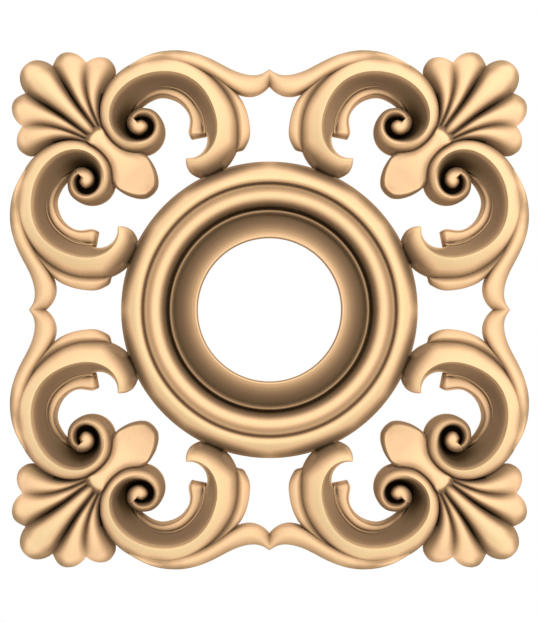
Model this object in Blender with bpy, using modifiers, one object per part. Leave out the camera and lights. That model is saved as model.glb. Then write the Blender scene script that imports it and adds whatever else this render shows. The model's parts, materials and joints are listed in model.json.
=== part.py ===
"""Carved wall panel: a square openwork panel carved from one piece of timber.

A moulded ring stands in the middle.  Each corner has a scallop shell on a short
stem between two volutes.  Each volute runs out into a C-scroll whose tip rests on
the ring, and two leaves lie along its back, the longer one meeting its neighbour
in the middle of the side.

The panel is the same eight times over, so one eighth is modelled and mirrored.
Within that eighth x runs from the middle of the side towards the corner, z runs
up, and heights are measured forwards from the flat back.  All sizes are in
millimetres and are turned into metres when the solids are made.

Plan sizes are given as they look from straight in front at EYE_DISTANCE, which is
how a drawing of the panel is read.  `spread` turns them into true sizes: a place
lower than SIGHT_HEIGHT looks a little nearer the middle than it is.
"""

import math

import bmesh
import bpy
import numpy as np
from mathutils import Matrix, Vector

MM = 0.001

# Reach of the raw solids behind the flat back and of the trimming wedge in front of it
BACK_DEPTH = 6.0
FRONT_ROOM = 60.0
HALF_SIDE_ROOM = 300.0

# Sighting distance of the plan sizes and the height that is seen at its true size
EYE_DISTANCE = 1000.0
SIGHT_HEIGHT = 25.0

# Ring mouldings: distance from the middle of the panel and height
RING_STEPS = 56
RING_PROFILE = (
    (72.5, 15.0),
    (73.6, 20.4),
    (78.0, 16.4),
    (86.0, 11.0),
    (95.2, 7.3),
    (97.6, 11.0),
    (99.2, 10.4),
    (101.0, 5.6),
    (105.4, 12.2),
    (110.0, 20.8),
    (115.0, 23.8),
    (121.5, 22.3),
    (124.3, 23.0),
    (126.0, 20.4),
    (130.4, 30.0),
    (133.0, 30.4),
    (140.6, 22.9),
    (148.3, 12.0),
)

# Crest of the scroll, walked from the tip of the C round to the eye of the volute
CREST_START = (83.4, 151.3)
CREST_HEADING = -165.7
CREST_LENGTHS = (0.0, 17.4, 41.8, 69.7, 104.6, 146.4, 188.2, 223.1, 251.0, 275.4, 299.8, 324.2, 348.6, 364.0)
CREST_RADII = (19.4, 25.9, 36.8, 80.7, 44.2, 68.9, 50.6, 28.8, 29.1, 20.3, 14.4, 11.7, 5.8, 4.6)

# Widths and heights of the scroll, each as (distance walked, value)
BAND_WIDTH = (
    (0, 1.2), (2, 8.2), (5, 13.4), (10, 18.8), (16, 21.6), (30, 23.5), (50, 21.4),
    (75, 17.8), (105, 12.0), (125, 11.9), (155, 14.4), (185, 12.7), (240, 7.5),
    (252, 8.9), (270, 13.6), (277, 13.0), (300, 4.4), (312, 3.8), (330, 5.2), (364, 2.6),
)
COVE_WIDTH = (
    (0, 0.8), (10, 1.7), (22, 3.8), (40, 9.5), (50, 14.0), (75, 16.6), (135, 18.1),
    (175, 21.2), (200, 21.8), (222, 20.0), (240, 14.6), (250, 12.0), (262, 9.8), (290, 9.2),
    (308, 8.9), (318, 7.2), (324, 4.6), (330, 5.6), (345, 4.6), (364, 2.0),
)
CREST_HEIGHT = (
    (0, 23.0), (6, 26.0), (20, 30.5), (45, 34.5), (70, 35.0), (110, 33.0), (150, 31.4),
    (190, 30.4), (240, 30.0), (265, 28.6), (290, 25.6), (312, 22.8), (330, 21.6), (364, 21.6),
)
EDGE_HEIGHT = (
    (0, 19.0), (5, 16.0), (15, 13.0), (30, 13.0), (50, 16.0), (72, 17.5), (100, 16.5),
    (140, 17.5), (172, 15.0), (205, 19.5), (232, 22.0), (252, 19.5), (270, 13.0),
    (292, 9.5), (312, 11.5), (330, 13.4), (364, 13.4),
)
FOOT_HEIGHT = (
    (0, 22.0), (12, 22.8), (30, 22.2), (50, 20.0), (80, 18.0), (120, 16.2), (160, 14.4),
    (190, 12.2), (215, 9.4), (235, 6.8), (250, 5.6), (270, 5.0), (318, 5.0), (325, 15.0),
    (331, 22.4), (364, 22.4),
)

# Swelling of the band, and shares of the cove's width and of its fall at its rails
BAND_BELLY = 1.0
COVE_RAILS = ((0.12, 0.28), (0.5, 0.68))

# Eye of the volute, and round floors (x, z, radius) left low in the deepest hollows
EYE_CENTRE = (130.8, 184.2)
EYE_RUN = 324.0
FLOOR_HEIGHT = 5.6
FLOORS = (
    (130.8, 184.2, 17.6),
    (142.6, 202.6, 12.0),
    (167.5, 211.0, 11.0),
    (170.2, 196.0, 6.5),
    (164.4, 177.6, 6.0),
)

# Lip inside the C: (x, z) of its fine ridge and of its free edge, and ridge height
LIP_ROWS = (
    (66.8, 172.2, 77.2, 170.6, 21.8),
    (64.9, 178.0, 79.1, 178.0, 21.8),
    (66.2, 190.5, 79.1, 191.0, 21.4),
    (73.2, 205.0, 86.2, 203.0, 20.6),
    (88.0, 218.9, 99.6, 210.4, 19.4),
    (106.0, 223.0, 111.6, 210.7, 17.8),
    (122.0, 219.0, 123.0, 204.9, 15.4),
    (134.6, 207.6, 131.2, 197.0, 11.6),
    (139.0, 198.6, 134.0, 191.6, 8.8),
)

# Section of the lip: share of the way from ridge to free edge, and rise there
LIP_SECTION = ((0.0, 0.8), (0.12, -1.4), (0.5, 0.4), (0.84, -0.4), (1.0, -2.6))

# Long leaf: (x, z) of its outer edge, ridge and inner edge
LONG_LEAF_ROWS = (
    (141.0, 244.6, 139.6, 243.0, 138.6, 240.6),
    (121.0, 255.2, 118.5, 252.0, 116.5, 249.0),
    (99.0, 259.7, 97.5, 252.2, 95.0, 247.0),
    (77.0, 257.8, 77.5, 249.5, 73.5, 240.5),
    (55.0, 249.5, 57.0, 241.0, 54.0, 231.5),
    (35.0, 239.3, 37.0, 229.5, 36.0, 220.4),
    (17.5, 234.9, 19.5, 224.6, 19.0, 216.2),
    (6.0, 237.0, 7.0, 229.8, 5.5, 220.8),
    (-3.0, 243.0, -3.0, 241.0, -3.0, 229.0),
)
LONG_LEAF_RIDGE_HEIGHT = (14.0, 19.5, 22.0, 22.6, 22.6, 22.4, 21.8, 19.4, 14.0)
LONG_LEAF_EDGE_DROP = (1.0, 5.0, 8.5, 9.5, 10.0, 10.0, 9.5, 7.5, 4.0)
LONG_LEAF_INNER_DROP = (1.0, 3.0, 4.6, 5.4, 5.0, 4.6, 4.4, 4.4, 3.6)

# Short leaf along the back of the C, each as (distance walked, value)
SHORT_LEAF_START = 36.4
SHORT_LEAF_END = 106.0
SHORT_LEAF_WIDTH = (
    (36.4, 24.4), (37.6, 28.2), (40, 30.6), (45, 32.5), (52, 32.3), (62, 30.4),
    (72, 27.2), (84, 20.4), (96, 15.8), (106, 13.2),
)
SHORT_LEAF_RIDGE = (
    (36.4, 23.8), (40, 24.6), (50, 23.6), (62, 23.2), (74, 21.8), (84, 18.8), (96, 15.0), (106, 12.6),
)
SHORT_LEAF_DROP = 5.0
SHORT_LEAF_HEIGHT = ((36.4, 13.5), (42, 18.5), (55, 20.5), (80, 20.5), (106, 17.5))

# Shell: grooves between the lobes, crests of the lobes and rounded lobe ends
GROOVE_INNER = ((169.0, 174.4), (184.6, 194.5), (195.6, 209.9), (206.9, 227.9), (216.6, 243.9))
GROOVE_OUTER = ((166.6, 174.6), (177.4, 198.4), (182.2, 213.1), (184.8, 230.5), (183.4, 247.2))
GROOVE_SCROLL = ((162.4, 174.8), (168.4, 197.0), (167.2, 212.0), (160.6, 226.0), (154.6, 236.6))
MIDDLE_LOBE_END = ((220.4, 246.4), (228.0, 249.2), (236.0, 249.2), (241.6, 246.6), (244.3, 244.3))
SIDE_LOBE_LEFT_END = ((185.8, 250.2), (190.8, 254.4), (196.6, 256.9), (202.5, 257.5))
SIDE_LOBE_RIGHT_END = ((214.8, 248.0), (212.0, 252.6), (208.0, 256.0), (202.5, 257.5))
LAST_LOBE_LEFT_END = ((154.8, 241.6), (157.4, 247.6), (162.4, 251.4), (169.0, 252.6))
LAST_LOBE_RIGHT_END = ((181.0, 248.6), (177.2, 250.8), (173.2, 252.1), (169.0, 252.6))
MIDDLE_CREST = ((170.0, 170.0), (190.0, 190.0), (205.0, 205.0), (222.0, 222.0), (236.0, 236.0))
SIDE_CREST = ((167.8, 174.6), (183.0, 200.0), (190.0, 213.0), (196.2, 230.0), (200.4, 248.0))
LAST_CREST = ((164.6, 174.8), (176.0, 203.0), (177.5, 215.0), (175.4, 231.0), (171.4, 245.0))
MIDDLE_CREST_HEIGHTS = (20.0, 24.0, 27.5, 29.6, 29.0, 24.0)
SIDE_CREST_HEIGHTS = (18.5, 20.2, 22.0, 23.3, 23.4, 21.4)
LAST_CREST_HEIGHTS = (18.0, 19.4, 21.0, 21.9, 21.6, 19.2)
INNER_GROOVE_HEIGHTS = (16.0, 13.4, 10.2, 9.2, 10.2, 12.6)
OUTER_GROOVE_HEIGHTS = (16.0, 14.8, 13.4, 13.4, 14.4, 16.4)
SCROLL_GROOVE_HEIGHTS = (15.0, 11.0, 7.6, 6.4, 6.4, 7.4)
LOBE_TIP_HEIGHT = 14.0
LOBE_ROUNDNESS = 0.7

# Stem and spoon on the diagonal: edge and its reach to the side, arris and its
# reach, then the heights of middle, arris and edge
STEM_ROWS = (
    (163.4, 0.0, 168.8, 0.0, 17.8, 18.8, 8.0),
    (164.4, 6.2, 169.5, 4.6, 17.6, 18.8, 8.0),
    (168.0, 11.6, 172.2, 8.8, 17.2, 18.8, 8.4),
    (175.0, 16.8, 177.6, 13.4, 17.2, 19.0, 9.0),
    (184.0, 20.6, 185.2, 17.4, 18.0, 19.4, 10.0),
    (193.0, 22.2, 193.2, 19.8, 19.8, 20.2, 12.0),
    (200.0, 20.8, 200.0, 17.4, 21.8, 20.8, 15.0),
    (207.0, 15.6, 207.0, 11.4, 23.8, 21.8, 16.4),
    (214.0, 11.0, 214.0, 7.0, 25.4, 23.2, 17.2),
    (224.0, 8.2, 224.0, 4.6, 26.8, 25.0, 17.6),
    (238.0, 8.6, 237.6, 5.2, 28.6, 27.0, 18.0),
    (244.6, 10.0, 243.0, 6.6, 29.2, 28.0, 18.4),
    (249.0, 10.2, 245.8, 6.6, 28.8, 27.8, 18.4),
    (252.0, 8.2, 247.4, 5.2, 28.2, 27.4, 18.0),
    (253.8, 0.0, 248.4, 0.0, 27.6, 27.2, 17.6),
)
STEM_FREE_TO = 190.0
STEM_HELD_FROM = 204.0
STEM_SEAM = 0.2

# How finely the solids are cut into facets
CREST_FACETS = 38
LEAF_FACETS = 9
LOBE_FACETS = 6
KEPT_FACETS = 0.60


def spline(knots, values, at):
    """Natural cubic curve through values at knots, read at the given places."""
    knots = np.asarray(knots, float)
    values = np.asarray(values, float)
    gaps = np.diff(knots)
    size = len(knots)
    system = np.eye(size)
    right = np.zeros(values.shape)
    for i in range(1, size - 1):
        system[i, i - 1] = gaps[i - 1]
        system[i, i] = 2.0 * (gaps[i - 1] + gaps[i])
        system[i, i + 1] = gaps[i]
        right[i] = 6.0 * ((values[i + 1] - values[i]) / gaps[i] - (values[i] - values[i - 1]) / gaps[i - 1])
    bend = np.linalg.solve(system, right)
    at = np.clip(np.asarray(at, float), knots[0], knots[-1])
    cell = np.clip(np.searchsorted(knots, at, side="right") - 1, 0, size - 2)
    shape = (len(at),) + (1,) * (values.ndim - 1)
    gap = gaps[cell].reshape(shape)
    low = (knots[cell + 1] - at).reshape(shape)
    high = (at - knots[cell]).reshape(shape)
    curved = (bend[cell] * low ** 3 + bend[cell + 1] * high ** 3) / (6.0 * gap)
    start = (values[cell] / gap - bend[cell] * gap / 6.0) * low
    end = (values[cell + 1] / gap - bend[cell + 1] * gap / 6.0) * high
    return curved + start + end


def along(pairs, at):
    """Value of a (distance, value) list, passed smoothly through its entries."""
    table = np.asarray(pairs, float)
    return spline(table[:, 0], table[:, 1], at)


def through(points, at):
    """Smooth plan curve through a few points, read at fractions 0 to 1 of its length."""
    table = np.asarray(points, float)
    steps = np.linalg.norm(np.diff(table[:, :2], axis=0), axis=1)
    walked = np.concatenate([[0.0], np.cumsum(steps)])
    return spline(walked / walked[-1], table, at)


def spread(plan, heights):
    """True plan places of points that are sighted from in front at the given heights."""
    return np.asarray(plan) * (1.0 + (SIGHT_HEIGHT - np.asarray(heights)) / EYE_DISTANCE)[:, None]


def rail(plan, heights, sighted=None):
    """Rail of the relief at the given heights; `sighted` is where its plan was read."""
    seen = heights if sighted is None else sighted
    return np.column_stack([spread(plan, seen), heights])


def between(first, second, share, rise=0.0):
    """Rail part of the way from one rail to the next, raised a little."""
    mixed = first + (second - first) * share
    mixed[:, 2] += rise
    return mixed


def crest_path(stations):
    """Plan points and outward directions along the crest of the scroll.

    The path turns steadily between the named radii, so the heading is the sum of
    the turning and the place is the sum of the steps taken along that heading.
    """
    walked = np.linspace(0.0, CREST_LENGTHS[-1], 4000)
    step = walked[1]
    turning = -np.interp(walked, CREST_LENGTHS, 1.0 / np.asarray(CREST_RADII))
    swept = np.concatenate([[0.0], np.cumsum((turning[1:] + turning[:-1]) * 0.5 * step)])
    heading = math.radians(CREST_HEADING) + swept
    across = np.cos(heading)
    upward = np.sin(heading)
    x = CREST_START[0] + np.concatenate([[0.0], np.cumsum((across[1:] + across[:-1]) * 0.5 * step)])
    z = CREST_START[1] + np.concatenate([[0.0], np.cumsum((upward[1:] + upward[:-1]) * 0.5 * step)])
    turn = np.interp(stations, walked, heading)
    points = np.column_stack([np.interp(stations, walked, x), np.interp(stations, walked, z)])
    outward = np.column_stack([-np.sin(turn), np.cos(turn)])
    return points, outward


def crest_stations(count):
    """Distances along the crest, closer together where it turns more sharply."""
    walked = np.linspace(0.0, CREST_LENGTHS[-1], 2000)
    radius = np.interp(walked, CREST_LENGTHS, CREST_RADII)
    step = (radius + 2.0) ** 0.75 * np.clip(0.25 + walked / 24.0, 0.25, 1.0)
    measure = np.concatenate([[0.0], np.cumsum(1.0 / step[:-1])])
    return np.interp(np.linspace(0.0, measure[-1], count), measure, walked)


def scroll_grid():
    """Front of the scroll: outer band up to the crest, then the cove down to its foot.

    The free side of the volute is sighted at the back, where its outline is seen.
    Near the eye the cove closes onto the eye's centre, so the end is a round boss.
    """
    stations = crest_stations(CREST_FACETS)
    points, outward = crest_path(stations)
    crest_height = along(CREST_HEIGHT, stations)
    edge_height = along(EDGE_HEIGHT, stations)
    foot_height = along(FOOT_HEIGHT, stations)
    free_side = np.interp(stations, (250.0, 262.0, 300.0, 312.0), (1.0, 0.0, 0.0, 1.0))
    foot_seen = np.where(stations > 225.0, np.maximum(foot_height, EDGE_HEIGHT[-1][1]), foot_height)
    edge_plan = points + outward * along(BAND_WIDTH, stations)[:, None]
    foot_plan = points - outward * along(COVE_WIDTH, stations)[:, None]
    edge = rail(edge_plan, edge_height, edge_height * free_side)
    crest = rail(points, crest_height)
    foot = rail(foot_plan, foot_height, foot_seen)
    boss = np.clip((stations - EYE_RUN) / 12.0, 0.0, 1.0)[:, None]
    centre = spread(np.asarray([EYE_CENTRE]), [CREST_HEIGHT[-1][1]])
    near_centre = crest[:, :2] + (centre - crest[:, :2]) * 0.97
    foot[:, :2] += (near_centre - foot[:, :2]) * boss
    band = between(edge, crest, 0.5, BAND_BELLY)
    rails = [edge, band, crest]
    for share, fall in COVE_RAILS:
        cove = between(crest, foot, share)
        cove[:, 2] -= (fall - share) * (crest_height - foot_height) * (1.0 - boss[:, 0])
        rails.append(cove)
    return np.stack([*rails, foot], axis=1)


def lip_grid():
    """Lip inside the C: fine ridge, groove, soft belly and the rounded free edge."""
    rows = through(LIP_ROWS, np.linspace(0.0, 1.0, LEAF_FACETS + 1))
    height = rows[:, 4]
    ridge = rail(rows[:, 0:2], height)
    edge = rail(rows[:, 2:4], height, height * 0.0)
    rails = [between(ridge, edge, share, rise) for share, rise in LIP_SECTION]
    return np.stack(rails, axis=1)


def long_leaf_grid():
    """Long leaf: sloping outer face up to its ridge, then a gentler face to its inner edge."""
    knots = np.linspace(0.0, 1.0, len(LONG_LEAF_ROWS))
    at = np.linspace(0.0, 1.0, LEAF_FACETS + 3)
    plan = spline(knots, LONG_LEAF_ROWS, at)
    top = spline(knots, LONG_LEAF_RIDGE_HEIGHT, at)
    edge = rail(plan[:, 0:2], top - spline(knots, LONG_LEAF_EDGE_DROP, at))
    ridge = rail(plan[:, 2:4], top)
    inner = rail(plan[:, 4:6], top - spline(knots, LONG_LEAF_INNER_DROP, at))
    rails = (edge, between(edge, ridge, 0.5, 1.2), ridge, between(ridge, inner, 0.6, 0.6), inner)
    return np.stack(rails, axis=1)


def short_leaf_grid():
    """Short leaf that lies against the back of the C-scroll."""
    share = np.linspace(0.0, 1.0, LEAF_FACETS)
    stations = SHORT_LEAF_START + (SHORT_LEAF_END - SHORT_LEAF_START) * share ** 1.35
    points, outward = crest_path(stations)
    ridge_width = along(SHORT_LEAF_RIDGE, stations)
    height = along(SHORT_LEAF_HEIGHT, stations)
    buried = np.minimum(along(BAND_WIDTH, stations) - 2.5, ridge_width - 0.6)
    edge_plan = points + outward * along(SHORT_LEAF_WIDTH, stations)[:, None]
    edge = rail(edge_plan, height - SHORT_LEAF_DROP, height * 0.4)
    ridge = rail(points + outward * ridge_width[:, None], height)
    root = rail(points + outward * buried[:, None], height - 4.5)
    return np.stack([edge, between(ridge, edge, 0.55, 1.4), ridge, root], axis=1)


def lobe_grid(left, left_end, right, right_end, crest, crest_heights, left_heights, right_heights):
    """One lobe of the shell between two grooves, closing round at its free end."""
    at = np.linspace(0.0, 1.0, LOBE_FACETS)
    end = np.linspace(0.0, 1.0, 4)[1:]
    middle = through(crest, at)
    apex = np.asarray(left_end[-1])
    middle = np.vstack([middle, middle[-1] + (apex - middle[-1]) * end[:, None]])
    crown = spline(np.linspace(0.0, 1.0, len(crest_heights)), crest_heights, at)
    rounding = (1.0 - end ** 2.4) ** 0.7
    crown = np.concatenate([crown, LOBE_TIP_HEIGHT + (crown[-1] - LOBE_TIP_HEIGHT) * rounding])
    rails = []
    sides = (
        (left, left_end, left_heights, (1.0, 0.6, 0.12)),
        (right, right_end, right_heights, (0.12, 0.6, 1.0)),
    )
    for line, line_end, heights, shares in sides:
        side = np.vstack([through(line, at), through((line[-1],) + line_end, end)])
        groove = spline(np.linspace(0.0, 1.0, len(heights)), heights, at)
        groove = np.concatenate([groove, groove[-1] + (LOBE_TIP_HEIGHT - groove[-1]) * end])
        for share in shares:
            rise = math.cos(0.5 * math.pi * share) ** LOBE_ROUNDNESS
            rails.append(rail(middle + (side - middle) * share, groove + (crown - groove) * rise))
    return np.stack(rails, axis=1)


def shell_grids():
    """Lobes of the shell from the scroll to the diagonal, with the middle lobe whole."""
    flipped = tuple((z, x) for x, z in GROOVE_INNER)
    flipped_end = tuple((z, x) for x, z in MIDDLE_LOBE_END)
    middle = lobe_grid(
        GROOVE_INNER, MIDDLE_LOBE_END, flipped, flipped_end,
        MIDDLE_CREST, MIDDLE_CREST_HEIGHTS, INNER_GROOVE_HEIGHTS, INNER_GROOVE_HEIGHTS)
    side = lobe_grid(
        GROOVE_OUTER, SIDE_LOBE_LEFT_END, GROOVE_INNER, SIDE_LOBE_RIGHT_END,
        SIDE_CREST, SIDE_CREST_HEIGHTS, OUTER_GROOVE_HEIGHTS, INNER_GROOVE_HEIGHTS)
    last = lobe_grid(
        GROOVE_SCROLL, LAST_LOBE_LEFT_END, GROOVE_OUTER, LAST_LOBE_RIGHT_END,
        LAST_CREST, LAST_CREST_HEIGHTS, SCROLL_GROOVE_HEIGHTS, OUTER_GROOVE_HEIGHTS)
    return [middle, side, last]


def stem_grid():
    """Stem and spoon on the diagonal: edges, arrises and the bowl or ridge between them.

    The first and last rows are single lines a little beside the diagonal.
    """
    line, half, inner, inner_half, middle, arris, low = np.asarray(STEM_ROWS).T
    held = np.interp(line, (STEM_FREE_TO, STEM_HELD_FROM), (0.0, 1.0))
    rails = []
    for side, share in ((-1, 2.0), (-1, 1.0), (-1, 0.4), (1, 0.4), (1, 1.0), (1, 2.0)):
        on_edge = share == 2.0
        reach = side * (half if on_edge else inner_half * share)
        reach[[0, -1]] = STEM_SEAM
        run = line if on_edge else inner
        height = low if on_edge else (arris if share == 1.0 else middle)
        plan = np.column_stack([run + reach, run - reach]) / math.sqrt(2.0)
        rails.append(rail(plan, height, low * held if on_edge else arris))
    return np.stack(rails, axis=1)


def solid_from_grids(name, grids, depth, collection):
    """Closed solid whose front is one or more grids joined where their rails meet.

    The front is carried straight back to a flat rear `depth` behind the panel's back.
    """
    mesh = bmesh.new()
    for grid in grids:
        rows, across = grid.shape[:2]
        front = [[mesh.verts.new((p[0] * MM, -p[2] * MM, p[1] * MM)) for p in row] for row in grid]
        for i in range(rows - 1):
            for j in range(across - 1):
                mesh.faces.new((front[i][j], front[i + 1][j], front[i + 1][j + 1], front[i][j + 1]))
    bmesh.ops.remove_doubles(mesh, verts=mesh.verts, dist=0.02 * MM)
    bmesh.ops.triangulate(mesh, faces=mesh.faces)
    bmesh.ops.recalc_face_normals(mesh, faces=mesh.faces)
    carried = bmesh.ops.extrude_face_region(mesh, geom=mesh.faces[:], use_keep_orig=True)
    for vert in (item for item in carried["geom"] if isinstance(item, bmesh.types.BMVert)):
        vert.co.y = depth * MM
    bmesh.ops.recalc_face_normals(mesh, faces=mesh.faces)
    return object_from(mesh, name, collection)


def object_from(mesh, name, collection):
    """Turn a worked mesh into a named object in the given collection."""
    data = bpy.data.meshes.new(name)
    mesh.to_mesh(data)
    mesh.free()
    thing = bpy.data.objects.new(name, data)
    collection.objects.link(thing)
    return thing


def apply_modifiers(thing):
    """Replace the object's mesh by the result of its modifiers."""
    bpy.context.view_layer.update()
    graph = bpy.context.evaluated_depsgraph_get()
    result = bpy.data.meshes.new_from_object(thing.evaluated_get(graph))
    thing.modifiers.clear()
    thing.data = result


def keep_inside(target, tool):
    """Keep only what the target shares with a tool."""
    modifier = target.modifiers.new("Keep", "BOOLEAN")
    modifier.operation = "INTERSECT"
    modifier.solver = "EXACT"
    modifier.object = tool
    apply_modifiers(target)


def unite_all(target, collection):
    """Unite the target with every solid of a collection at once."""
    modifier = target.modifiers.new("Unite", "BOOLEAN")
    modifier.operation = "UNION"
    modifier.solver = "EXACT"
    modifier.operand_type = "COLLECTION"
    modifier.collection = collection
    modifier.use_self = True
    apply_modifiers(target)


def make_ring(collection):
    """Moulded ring: its profile turned about the middle of the panel."""
    mesh = bmesh.new()
    front = np.asarray(RING_PROFILE)
    front[:, 0] = spread(front[:, :1], front[:, 1])[:, 0]
    profile = [(front[0, 0], -BACK_DEPTH), *front, (front[-1, 0], -BACK_DEPTH)]
    points = [mesh.verts.new((radius * MM, -height * MM, 0.0)) for radius, height in profile]
    for first, second in zip(points, points[1:] + points[:1]):
        mesh.edges.new((first, second))
    ring = object_from(mesh, "ring", collection)
    turned = ring.modifiers.new("Turned", "SCREW")
    turned.axis = "Y"
    turned.angle = 2.0 * math.pi
    turned.steps = RING_STEPS
    turned.render_steps = RING_STEPS
    turned.use_merge_vertices = True
    turned.merge_threshold = 0.0001
    apply_modifiers(ring)
    ring.data.transform(Matrix.Rotation(math.pi / RING_STEPS, 4, "Y"))
    bm = bmesh.new()
    bm.from_mesh(ring.data)
    bmesh.ops.recalc_face_normals(bm, faces=bm.faces)
    bm.to_mesh(ring.data)
    bm.free()
    return ring


def make_floors(collection):
    """Flat floors that close the bottoms of the channel and of the deepest hollows."""
    for number, (x, z, radius) in enumerate(FLOORS):
        bm = bmesh.new()
        reach = BACK_DEPTH - 1.0 - number * 0.3
        bmesh.ops.create_cone(
            bm, cap_ends=True, cap_tris=False, segments=14,
            radius1=radius * MM, radius2=radius * MM, depth=(FLOOR_HEIGHT + reach) * MM,
        )
        bm.transform(Matrix.Rotation(math.radians(90.0), 4, "X"))
        middle = (reach - FLOOR_HEIGHT) * 0.5
        bm.transform(Matrix.Translation(Vector((x, middle, z)) * MM))
        object_from(bm, f"floor_{number}", collection)


def make_eighth(collection):
    """Wedge that keeps one eighth of the panel in front of its flat back."""
    far = HALF_SIDE_ROOM * MM
    bm = bmesh.new()
    corners = ((0.0, 0.0), (far, far), (0.0, far))
    back = [bm.verts.new((x, 0.0, z)) for x, z in corners]
    front = [bm.verts.new((x, -FRONT_ROOM * MM, z)) for x, z in corners]
    bm.faces.new(back)
    bm.faces.new(front[::-1])
    for i in range(3):
        j = (i + 1) % 3
        bm.faces.new((back[i], front[i], front[j], back[j]))
    bmesh.ops.recalc_face_normals(bm, faces=bm.faces)
    return object_from(bm, "eighth", collection)


def open_at_mirrors(thing):
    """Take away the flat cut faces that lie on the two mirror planes."""
    bm = bmesh.new()
    bm.from_mesh(thing.data)
    slip = 0.004 * MM
    gone = []
    for face in bm.faces:
        side = all(abs(v.co.x) < slip for v in face.verts)
        corner = all(abs(v.co.x - v.co.z) < slip * 1.5 for v in face.verts)
        if side or corner:
            gone.append(face)
    bmesh.ops.delete(bm, geom=gone, context="FACES")
    for vert in bm.verts:
        if abs(vert.co.x) < slip:
            vert.co.x = 0.0
        if abs(vert.co.x - vert.co.z) < slip * 1.5:
            middle = (vert.co.x + vert.co.z) * 0.5
            vert.co.x = middle
            vert.co.z = middle
    bm.to_mesh(thing.data)
    bm.free()


def simplify(thing):
    """Merge needless facets of the open eighth and set its rims back on their planes."""
    modifier = thing.modifiers.new("Simplify", "DECIMATE")
    modifier.decimate_type = "COLLAPSE"
    modifier.ratio = KEPT_FACETS
    apply_modifiers(thing)
    bm = bmesh.new()
    bm.from_mesh(thing.data)
    for vert in bm.verts:
        if abs(vert.co.y) < 0.15 * MM:
            vert.co.y = 0.0
        if not vert.is_boundary:
            continue
        if abs(vert.co.x) < abs(vert.co.x - vert.co.z):
            vert.co.x = 0.0
        else:
            middle = (vert.co.x + vert.co.z) * 0.5
            vert.co.x = middle
            vert.co.z = middle
    bm.to_mesh(thing.data)
    bm.free()


def mirror(thing, use_x, use_z):
    """Mirror the object across its own x and z planes and join the halves."""
    modifier = thing.modifiers.new("Mirror", "MIRROR")
    modifier.use_axis[0] = use_x
    modifier.use_axis[1] = False
    modifier.use_axis[2] = use_z
    modifier.use_clip = True
    modifier.use_mirror_merge = True
    modifier.merge_threshold = 0.00002
    apply_modifiers(thing)


def tidy_facets(thing):
    """Join facets that lie in one plane so the flat back stays simple."""
    bm = bmesh.new()
    bm.from_mesh(thing.data)
    bmesh.ops.remove_doubles(bm, verts=bm.verts, dist=0.02 * MM)
    bmesh.ops.dissolve_limit(
        bm, angle_limit=math.radians(1.2), use_dissolve_boundaries=False,
        verts=bm.verts, edges=bm.edges,
    )
    bmesh.ops.triangulate(bm, faces=bm.faces)
    loose = [edge for edge in bm.edges if not edge.link_faces]
    bmesh.ops.delete(bm, geom=loose, context="EDGES")
    bmesh.ops.recalc_face_normals(bm, faces=bm.faces)
    bm.to_mesh(thing.data)
    bm.free()


def wood(name):
    """Pale limewood, left matt as it comes from the carver."""
    material = bpy.data.materials.new(name)
    material.use_nodes = True
    shader = material.node_tree.nodes["Principled BSDF"]
    shader.inputs["Base Color"].default_value = (0.74, 0.50, 0.27, 1.0)
    shader.inputs["Roughness"].default_value = 0.6
    material.diffuse_color = (0.85, 0.69, 0.52, 1.0)
    return material


def main():
    """Build the panel."""
    for thing in list(bpy.data.objects):
        bpy.data.objects.remove(thing, do_unlink=True)
    scene = bpy.context.scene
    panel_parts = bpy.data.collections.new("carved_wall_panel")
    cutters = bpy.data.collections.new("carving_pieces")
    scene.collection.children.link(panel_parts)
    scene.collection.children.link(cutters)
    panel = make_ring(panel_parts)
    panel.name = "carved_panel"
    solid_from_grids("scroll", [scroll_grid()], 2.2, cutters)
    solid_from_grids("lip", [lip_grid()], 2.6, cutters)
    solid_from_grids("long_leaf", [long_leaf_grid()], 3.0, cutters)
    solid_from_grids("short_leaf", [short_leaf_grid()], 3.4, cutters)
    solid_from_grids("stem", [stem_grid()], 3.8, cutters)
    solid_from_grids("shell", shell_grids(), 4.2, cutters)
    make_floors(cutters)
    unite_all(panel, cutters)
    keep_inside(panel, make_eighth(cutters))
    open_at_mirrors(panel)
    simplify(panel)
    panel.data.transform(Matrix.Rotation(math.radians(45.0), 4, "Y"))
    mirror(panel, False, True)
    panel.data.transform(Matrix.Rotation(math.radians(-45.0), 4, "Y"))
    mirror(panel, True, True)
    tidy_facets(panel)
    panel.data.materials.clear()
    panel.data.materials.append(wood("limewood"))
    for piece in cutters.objects:
        piece.display_type = "WIRE"
        piece.hide_render = True


main()
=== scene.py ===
"""Looks of the carved wall panel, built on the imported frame.

The panel is one piece of limewood: a moulded ring in the middle, a scallop shell on
a stem in each corner, C-scrolls that wind up into volutes, and two leaves along the
back of each scroll.  It is the same eight times over, so one eighth is surfaced as
fine lofted forms, united, and mirrored into the whole.

Plan sizes are in millimetres as they look from straight in front, with x from the
middle of a side towards the corner and z up.  Heights are in millimetres from the
flat back towards the viewer.
"""

import json
import logging
import math
from dataclasses import dataclass
from enum import Enum
from typing import Any

import bpy
import numpy as np
from mathutils import Matrix, Vector

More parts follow.
